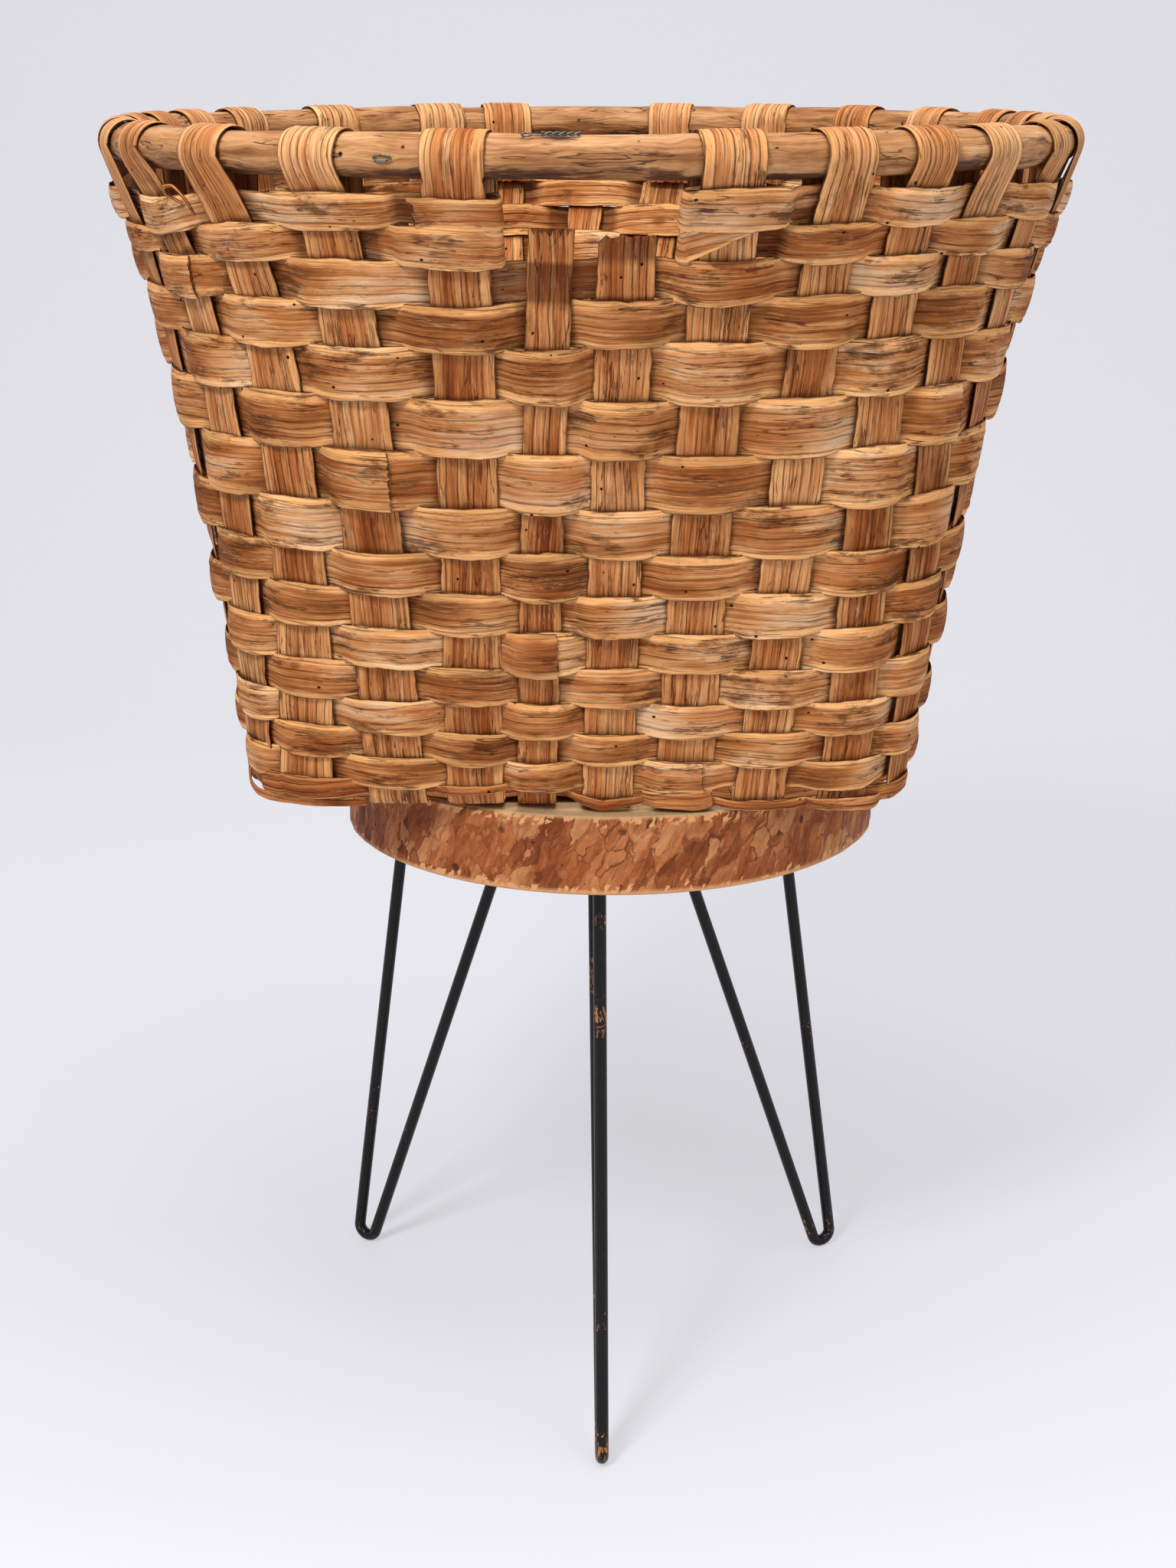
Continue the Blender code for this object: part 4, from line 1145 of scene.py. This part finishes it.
def sweep_bar(name, line, upward, radius_at, sides, seed):
    """A round bar along a line. radius_at(along, turn) gives its radius, with turn 0 to one side."""
    steps = np.linalg.norm(np.diff(line, axis=0), axis=1)
    along = np.concatenate([[0], np.cumsum(steps)])
    forward = unit(np.gradient(line, axis=0))
    upward = unit(upward - forward * np.sum(upward * forward, axis=1, keepdims=True))
    across = np.cross(upward, forward)
    turns = np.linspace(0, 2 * np.pi, sides, endpoint=False)
    radius = radius_at(along[:, None], turns)
    turn = turns[:, None]
    direction = np.cos(turn) * across[:, None, :] + np.sin(turn) * upward[:, None, :]
    points = line[:, None, :] + direction * radius[:, :, None]
    mesh = bpy.data.meshes.new(name)
    mesh.from_pydata(points.reshape(-1, 3).tolist(), [], tube_faces(len(line), sides))
    grain = np.zeros(points.shape)
    grain[:, :, 0] = along[:, None]
    grain[:, :, 1] = mirrored(turns) * radius.mean()
    grain[:, :, 2] = np.sin(turns) * radius.mean() * BAR_APART + seed
    keep_values(mesh, "grain", grain)
    mesh.shade_smooth()
    mesh.set_sharp_from_angle(angle=math.radians(50))
    return put_in_scene(name, mesh)


# %% Make the two rim poles
JOINT_STAKES = (10, 25)
JOINT_GAP = 0.0004
POLE_STEPS = 360
POLE_SIDES = 28
KNOTS = 9
KNOT_LENGTH = 0.006
KNOT_SPREAD = 0.45
# place from left to right, turn, length, spread round the pole and strength
POLE_STAINS = {
    "rim_pole_front": ((-0.112, 4.2, 0.030, 0.8, 0.16), (-0.170, 3.6, 0.020, 0.9, 0.10),
                       (0.044, 4.35, 0.013, 0.40, 0.30), (0.117, 4.30, 0.018, 0.30, 0.30),
                       (0.205, 4.20, 0.020, 0.50, 0.15), (-0.017, 1.9, 0.014, 0.35, 0.16)),
    "rim_pole_back": ((-0.14, 5.2, 0.040, 1.0, 0.20), (0.10, 5.0, 0.050, 0.8, 0.20),
                      (0.19, 5.6, 0.030, 0.8, 0.16)),
}
# How much the pole's underside is darkened: painted shade.
UNDERSIDE_SHADE = 0.13


def turn_apart(turn, other):
    """The shorter way from one turn to another."""
    return np.angle(np.exp(1j * (turn - other)))


def pole_radius(seed):
    """A radius that swells and shrinks along a pole, with a bump at each knot."""
    draw = np.random.default_rng(seed)
    knots = [(draw.uniform(0.03, 0.95), draw.uniform(0, 2 * np.pi), draw.uniform(0.0008, 0.0022))
             for _ in range(KNOTS)]

    def radius(along, turn):
        size = POLE_RADIUS - 0.0006 + 0.0005 * wobble(along, seed, 0.21) + 0 * turn
        size = size + 0.00035 * np.sin(3 * turn + along * 21) + 0.0002 * np.sin(7 * turn - along * 57)
        for place, side, height in knots:
            near = ((along - place) / KNOT_LENGTH) ** 2 + (turn_apart(turn, side) / KNOT_SPREAD) ** 2
            size = size + height * np.exp(-near)
        return size
    return radius


for name, first, last, seed in (("rim_pole_front", JOINT_STAKES[1], JOINT_STAKES[0] + STAKES, 11),
                                ("rim_pole_back", JOINT_STAKES[0], JOINT_STAKES[1], 12)):
    start, finish = stake_bearing(np.array([first, last]), RIM_HEIGHT)
    trim = JOINT_GAP / RIM_RADIUS
    bearing = np.linspace(start + trim, finish - trim, POLE_STEPS)
    line = np.stack([rim_ring_radius * np.cos(bearing), rim_ring_radius * np.sin(bearing),
                     np.full(POLE_STEPS, RIM_HEIGHT)], axis=1)
    upward = np.tile([0.0, 0.0, 1.0], (POLE_STEPS, 1))
    bar = sweep_bar(f"{name}_peeled", line, upward, pole_radius(seed), POLE_SIDES, seed)
    turns = np.tile(np.linspace(0, 2 * np.pi, POLE_SIDES, endpoint=False), POLE_STEPS)
    across = np.array([vertex.co.x for vertex in bar.data.vertices])
    # Painted shade on the underside, then the brown stains at their places.
    shade_and_stain = UNDERSIDE_SHADE * np.clip(-np.sin(turns), 0, 1) - 0.03
    for x, turn, length, spread, strength in POLE_STAINS[name]:
        shade_and_stain += strength * np.exp(-((across - x) / length) ** 2 - (turn_apart(turns, turn) / spread) ** 2)
    keep_values(bar.data, "shade_and_stain", shade_and_stain)
    bar.data.materials.append(rim_wood)
    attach(bar, "basket")
    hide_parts(name)
print("rim poles: 2")

# %% [markdown]
# ## The slab
# The slab is a slice of a trunk with its bark off. The edge is knife-dressed, so it has shallow flats and
# red-brown and tan flakes that run up and down; the top is smooth and pale.
# %% Slab wood
EDGE_STOPS = [(0.0, (0.070, 0.016, 0.005)), (0.25, (0.15, 0.036, 0.010)), (0.50, (0.26, 0.070, 0.021)),
              (0.75, (0.37, 0.120, 0.040)), (1.0, (0.48, 0.19, 0.072))]
TAN_STOPS = [(0.30, (0.32, 0.115, 0.040)), (0.68, (0.57, 0.265, 0.105))]
CREAM_STOPS = [(0.3, (0.36, 0.22, 0.11)), (0.7, (0.52, 0.36, 0.20))]
EDGE_CRACK = (0.085, 0.024, 0.010)
EDGE_KNOT = (0.045, 0.014, 0.007)
FRAYED = (0.64, 0.32, 0.14)
PALE_RIM = (0.58, 0.29, 0.125)
FLAKE_SLANT = 0.45


def slab_finish():
    """Flakes of three sizes on the edge, red-brown and tan, and pale wood on the top and round the foot."""
    wood = Finish("slab_wood")
    grain = wood.attribute("grain")
    top, rim = wood.parts(wood.attribute("look"))[:2]
    height = wood.parts(grain)[1]
    slant = wood.add("ShaderNodeCombineXYZ", {0: wood.times(height, FLAKE_SLANT)})
    slanted = wood.stretched(slant, (1, 1, 1), grain)
    wander = wood.noise(grain, (90, 70, 1), result="Color")
    bent = wood.stretched(wood.centred(wander), (0.013, 0.022, 0.0), slanted)
    broad = wood.chance(wood.stretched(bent, (48, 24, 1), (6, 1, 0)))
    cells = wood.stretched(bent, (105, 50, 1))
    flake = wood.chance(cells)
    crack = wood.add("ShaderNodeTexVoronoi", {"Vector": cells, "Scale": 1}, feature="DISTANCE_TO_EDGE")
    small = wood.chance(wood.stretched(bent, (290, 150, 1), (2, 5, 0)), 1)
    streaks = wood.noise(slanted, (230, 60, 1), (3, 1, 1), detail=5, roughness=0.7)
    clouds = wood.noise(slanted, (34, 26, 1), (8, 1, 1), roughness=0.6)
    value = wood.math("MULTIPLY_ADD", small, 0.20, wood.times(flake, 0.25))
    value = wood.math("MULTIPLY_ADD", broad, 0.55, wood.math("SUBTRACT", value, 0.62))
    value = wood.math("MULTIPLY_ADD", streaks, 0.70, value)
    value = wood.math("MULTIPLY_ADD", clouds, 0.70, value)
    color = wood.ramp(value, EDGE_STOPS)
    lifted = wood.math("MAXIMUM", wood.band(flake, 0.80, 0.83), wood.band(small, 0.88, 0.90, 0, 0.8))
    lifted = wood.times(lifted, wood.band(clouds, 0.36, 0.60, 0.15, 0.95))
    color = wood.mix(lifted, color, wood.ramp(streaks, TAN_STOPS))
    crack = wood.times(wood.band(crack, 0.05, 0.015), wood.band(clouds, 0.45, 0.60, 0.1, 0.7))
    color = wood.mix(crack, color, EDGE_CRACK)
    upper = wood.math("MULTIPLY_ADD", small, 0.010, height)
    upper = wood.band(upper, slab_high.z + 0.0015, slab_high.z + 0.0035, 0, 0.9)
    lower = wood.math("MULTIPLY_ADD", small, -0.014, height)
    lower = wood.band(lower, slab_low.z - 0.0045, slab_low.z - 0.0065, 0, 0.9)
    color = wood.mix(wood.math("MAXIMUM", upper, lower), color, FRAYED)
    knot = wood.band(wood.spots(wood.stretched(grain, (22, 30, 1), (4, 2, 0))), 0.12, 0.06)
    flecks = wood.noise(grain, (170, 130, 1), (9, 9, 1), detail=3)
    knot = wood.math("MAXIMUM", knot, wood.band(flecks, 0.31, 0.25))
    color = wood.mix(wood.times(knot, 0.85), color, EDGE_KNOT)
    rings = wood.noise(wood.add("ShaderNodeTexCoord", result="Object"), (9, 9, 9), detail=3)
    color = wood.mix(rim, color, PALE_RIM)
    color = wood.mix(top, color, wood.ramp(rings, CREAM_STOPS))
    wood.set("Base Color", color)
    wood.set("Roughness", wood.band(streaks, 0.3, 0.7, 0.62, 0.44))
    wood.set("Specular IOR Level", 0.10)
    wood.relief([(flake, 0.0018), (small, 0.0010), (streaks, 0.0012), (wood.times(knot, -1.0), 0.0012)])
    return wood.material


slab_wood = slab_finish()
print("slab finish:", slab_wood.name)

# %% The slab's section, from the top's middle round the edge to the underside's middle
EASE = 0.003
EDGE_ROWS = 16
FACE_SHARES = (0.35, 0.7, 0.9, 1.0)
slab_middle = (slab_low + slab_high) / 2
slab_radius = (slab_high.x - slab_low.x) / 2
slab_height = slab_high.z - slab_low.z
# how far out, the height, and whether the ring is on the top or on the underside
section = [(share * (slab_radius - EASE), slab_high.z, 1, 0) for share in FACE_SHARES]
section += [(slab_radius, slab_high.z - EASE * 0.6 - step / EDGE_ROWS * (slab_height - EASE * 1.2), 0, 0)
            for step in range(EDGE_ROWS + 1)]
section += [(share * (slab_radius - EASE), slab_low.z, 0, 1) for share in FACE_SHARES[::-1]]
print("slab, metres across and high:", round(2 * slab_radius, 4), round(slab_height, 4))

# %% Make the slab
SLAB_STEPS = 480
SEED_SWAY = 9
LARGE_DENTS = (0.0010, 71, 0.06)
SMALL_DENTS = (0.0005, 72, 0.022)
DENT_START = 0.0008
PALE_FOOT = 0.0032
turns = np.linspace(0, 2 * np.pi, SLAB_STEPS, endpoint=False)


def edge_dents(height):
    """How far the knife went in round the edge at a height: most halfway up, nothing at the corners."""
    arc = turns * slab_radius
    dents = -DENT_START
    for (depth, seed, length), shift in ((LARGE_DENTS, 0.0), (SMALL_DENTS, 0.4 * height)):
        dents = dents + depth * wobble(arc + shift, seed, length)
    share = (slab_high.z - height) / slab_height
    return np.minimum(0, dents) * math.sin(math.pi * share) ** 0.5


count = len(section) * SLAB_STEPS
points, grain, look = np.zeros((3, count + 2, 3))
for row, (out, height, top, under) in enumerate(section):
    here = slice(row * SLAB_STEPS, (row + 1) * SLAB_STEPS)
    radius = out + (0 if top or under else edge_dents(height))
    points[here, 0] = slab_middle.x + radius * np.cos(turns)
    points[here, 1] = slab_middle.y + radius * np.sin(turns)
    points[here, 2] = height
    grain[here, 0] = mirrored(turns) * slab_radius
    grain[here, 1] = height
    grain[here, 2] = np.sin(turns) * SEED_SWAY
    look[here, 0] = top
    look[here, 1] = under or height < slab_low.z + PALE_FOOT
points[-2:] = [(slab_middle.x, slab_middle.y, z) for z in (slab_high.z, slab_low.z)]
look[-2:, :2] = np.eye(2)
faces = [face[:1] + face[:0:-1] for face in tube_faces(len(section), SLAB_STEPS)[:-2]]
for k in range(SLAB_STEPS):
    following = (k + 1) % SLAB_STEPS
    faces.append((count, k, following))
    faces.append((count + 1, count - SLAB_STEPS + following, count - SLAB_STEPS + k))
mesh = bpy.data.meshes.new("slab_dressed")
mesh.from_pydata(points.tolist(), [], faces)
keep_values(mesh, "grain", grain)
keep_values(mesh, "look", look)
mesh.shade_smooth()
mesh.set_sharp_from_angle(angle=math.radians(30))
mesh.materials.append(slab_wood)
slab = put_in_scene("slab_dressed", mesh)
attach(slab, "stand")
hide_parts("slab")
print("slab points:", len(mesh.vertices))

# %% [markdown]
# ## The legs
# Each leg is one rod of steel, bent back at the foot and painted gloss black. The paint has chipped here and
# there down to a copper-coloured rust. The chips are a mask in the finish, gathered at a few heights.
# %% Black paint with chips
PAINT_BLACK = (0.004, 0.0035, 0.0035)
DUST = (0.085, 0.045, 0.030)
RUST_STOPS = [(0.5, (0.20, 0.075, 0.030)), (0.75, (0.52, 0.24, 0.10))]


def leg_paint(name, shift):
    """Gloss black with chips down to rust where the rod is scarred. shift: a pattern of its own."""
    paint = Finish(name)
    grain = paint.attribute("grain")
    scar = paint.attribute("scar", "Fac")
    scratches = paint.noise(grain, (150, 330, 1), (shift, 0, 0), detail=5, roughness=0.65, distortion=1.6)
    fine = paint.noise(grain, (60, 900, 1), (shift, 3, 0), detail=3)
    level = paint.math("MULTIPLY_ADD", scar, -0.20, 0.745)
    chip = paint.band(paint.math("SUBTRACT", scratches, level), 0.0, 0.03)
    dust = paint.band(fine, 0.66, 0.74, 0, 0.35)
    color = paint.mix(dust, PAINT_BLACK, DUST)
    color = paint.mix(chip, color, paint.ramp(scratches, RUST_STOPS))
    paint.set("Base Color", color)
    paint.set("Roughness", paint.band(chip, 0, 1, 0.26, 0.75))
    paint.set("Specular IOR Level", 0.22)
    paint.relief([(paint.times(chip, -1.0), 0.0003), (scratches, 0.00015)])
    return paint.material


# %% The middle line of a rod, down, round the foot and up again
ROD_RADIUS = 0.0045
FOOT_BEND = 0.008
FOOT_CIRCLE = 0.214
FOOT_STEPS = 16
ROD_TOP_OUTER = 0.162
ROD_TOP_INNER = 0.062
ROD_STEPS = 90
plate_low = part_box("leg_plate_front")[0].z


def leg_section():
    """The rod's middle line as (out, height)."""
    foot = np.array([FOOT_CIRCLE, ROD_RADIUS + FOOT_BEND - 0.0002])
    tops = [np.array([out, plate_low - 0.0003]) for out in (ROD_TOP_OUTER, ROD_TOP_INNER)]
    angles = []
    for side, (out, height) in zip((-1, 1), tops - foot):
        angles.append(math.atan2(height, out) + side * math.acos(FOOT_BEND / math.hypot(out, height)))
    around = np.linspace(angles[0], angles[1] - 2 * np.pi, FOOT_STEPS)
    bend = foot + FOOT_BEND * np.stack([np.cos(around), np.sin(around)], axis=1)
    down = np.linspace(tops[0], bend[0], ROD_STEPS)
    rising = np.linspace(bend[-1], tops[1], ROD_STEPS)
    return np.concatenate([down, bend[1:-1], rising])


section = leg_section()
print("rod, metres long:", round(np.linalg.norm(np.diff(section, axis=0), axis=1).sum(), 3))

# %% Make the three legs
LEG_BEARINGS = {"front": 272.0, "right": 28.5, "left": 148.5}
ROD_SIDES = 24
# height, spread and strength of each scar
SCARS = {"front": ((0.383, 0.010, 1.0), (0.315, 0.018, 1.25), (0.205, 0.006, 0.5), (0.150, 0.008, 0.7),
                   (0.105, 0.010, 0.9), (0.015, 0.014, 1.4)),
         "right": ((0.34, 0.02, 0.5), (0.20, 0.02, 0.6), (0.02, 0.02, 0.8)),
         "left": ((0.36, 0.02, 0.6), (0.12, 0.03, 0.7), (0.01, 0.01, 0.6))}

for side, bearing in LEG_BEARINGS.items():
    turn = math.radians(bearing)
    line = np.stack([section[:, 0] * math.cos(turn), section[:, 0] * math.sin(turn), section[:, 1]], axis=1)
    upward = np.tile([-math.sin(turn), math.cos(turn), 0.0], (len(line), 1))
    rod = sweep_bar(f"leg_{side}_painted", line, upward, even_radius(ROD_RADIUS), ROD_SIDES, bearing)
    heights = np.array([vertex.co.z for vertex in rod.data.vertices])
    scar = np.zeros(len(heights))
    for height, spread, strength in SCARS[side]:
        scar += strength * np.exp(-((heights - height) / spread) ** 2)
    keep_values(rod.data, "scar", scar)
    rod.data.materials.append(leg_paint(f"leg_paint_{side}", bearing))
    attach(rod, "stand")
    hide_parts(f"leg_{side}")
print("legs:", len(LEG_BEARINGS))

# %% [markdown]
# ## Plates and screws
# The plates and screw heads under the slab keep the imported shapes. They get the same paint and a dark steel.
# %% Finish the plates and screws
def screw_finish():
    """Dark steel with small bright marks."""
    steel = Finish("screw_steel")
    place = steel.add("ShaderNodeTexCoord", result="Object")
    marks = steel.noise(place, (900, 900, 300), detail=4)
    steel.set("Base Color", steel.ramp(marks, [(0.35, (0.05, 0.045, 0.04)), (0.7, (0.22, 0.20, 0.18))]))
    steel.set("Metallic", 0.85)
    steel.set("Roughness", steel.band(marks, 0.3, 0.7, 0.3, 0.55))
    steel.relief([(marks, 0.0002)])
    return steel.material


def plate_finish():
    """Black paint worn to rust in small patches."""
    paint = Finish("plate_paint")
    place = paint.add("ShaderNodeTexCoord", result="Object")
    wear = paint.noise(place, (220, 220, 220), detail=5, roughness=0.65)
    chip = paint.band(wear, 0.62, 0.66)
    paint.set("Base Color", paint.mix(chip, (0.011, 0.010, 0.010), (0.24, 0.10, 0.045)))
    paint.set("Roughness", paint.band(chip, 0, 1, 0.3, 0.7))
    paint.relief([(wear, 0.0003)])
    return paint.material


plate_paint, screw_steel = plate_finish(), screw_finish()
hidden = [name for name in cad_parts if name.startswith(("leg_plate", "leg_screw"))]
for name in hidden:
    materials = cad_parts[name].data.materials
    materials.clear()
    materials.append(screw_steel if "screw" in name else plate_paint)
print("plates and screws:", len(hidden))

# %% [markdown]
# ## The wires on the rim
# A short end of thin wire is twisted on top of the front pole, left from an old mending. Two strands wind
# round each other, and one of them ends in a small curl. A loop of the same wire lies on the pole's front.
# A curve with a bevel would do too; here each is a thin bar along a line on the pole, so it stays seated.
# %% A place on the pole, and a wire along a line
WIRE_RADIUS = 0.0006
WIRE_SIDES = 10
WIRE_SEAT = POLE_RADIUS + WIRE_RADIUS - 0.0006
WIRE_LEAN = math.radians(24)


def on_pole(across, aside, above, lean=WIRE_LEAN):
    """Points on the front pole. lean is the turn from the pole's top toward its front."""
    ring = np.stack([across, -np.sqrt(rim_ring_radius ** 2 - across ** 2)], axis=1)
    reach = WIRE_SEAT + above
    outward = reach * math.sin(lean) - aside * math.cos(lean)
    height = RIM_HEIGHT + reach * math.cos(lean) + aside * math.sin(lean)
    return np.column_stack([ring * (1 + outward / rim_ring_radius)[:, None], height])


def make_wire(name, line, seed):
    """Thin steel wire along a line on the rim."""
    upward = np.tile([0.1, 1.0, 0.2], (len(line), 1))
    wire = sweep_bar(name, line, upward, even_radius(WIRE_RADIUS), WIRE_SIDES, seed)
    wire.data.materials.append(screw_steel)
    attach(wire, "basket")


# %% Twist two strands, one with a curl
WIRE_SPAN = (-0.0270, -0.0062)
TWIST_RADIUS = 0.0008
TWIST_TURNS = 2.6
TWIST_STEPS = 70
CURL_MIDDLE = -0.0350
CURL_RADIUS = 0.0024
CURL_TURN = (0.4, 2 * np.pi - 0.3)
CURL_STEPS = 26
CURL_CLIMB = 0.0001

across = np.linspace(*WIRE_SPAN, TWIST_STEPS)
for strand in range(2):
    turn = np.pi * strand + 2 * np.pi * TWIST_TURNS * np.linspace(0, 1, TWIST_STEPS)
    line = on_pole(across, TWIST_RADIUS * np.sin(turn), TWIST_RADIUS * (1 + np.cos(turn)))
    if strand == 1:
        around = np.linspace(*CURL_TURN, CURL_STEPS)
        curl = CURL_RADIUS * np.array([np.cos(around), np.sin(around)])
        line = np.concatenate([on_pole(CURL_MIDDLE + curl[0], curl[1], CURL_CLIMB * around), line])
    make_wire(f"rim_wire_{strand + 1}", line, strand)
print("strands: 2")

# %% Lay the loop on the pole's front
LOOP_MIDDLE = -0.1110
LOOP_LENGTH = 0.0094
LOOP_WIDTH = 0.0042
LOOP_LEAN = math.radians(96)
LOOP_TURN = (0.5, 2 * np.pi + 0.5)
LOOP_STEPS = 40
LOOP_SHIFT = 0.0011 / 6
LOOP_CLIMB = 0.0002

around = np.linspace(*LOOP_TURN, LOOP_STEPS)
across = LOOP_MIDDLE + LOOP_LENGTH / 2 * np.cos(around)
aside = LOOP_WIDTH / 2 * np.sin(around) + LOOP_SHIFT * around
make_wire("rim_loop", on_pole(across, aside, LOOP_CLIMB * around, LOOP_LEAN), 5)
print("loop, millimetres long:", 1000 * LOOP_LENGTH)
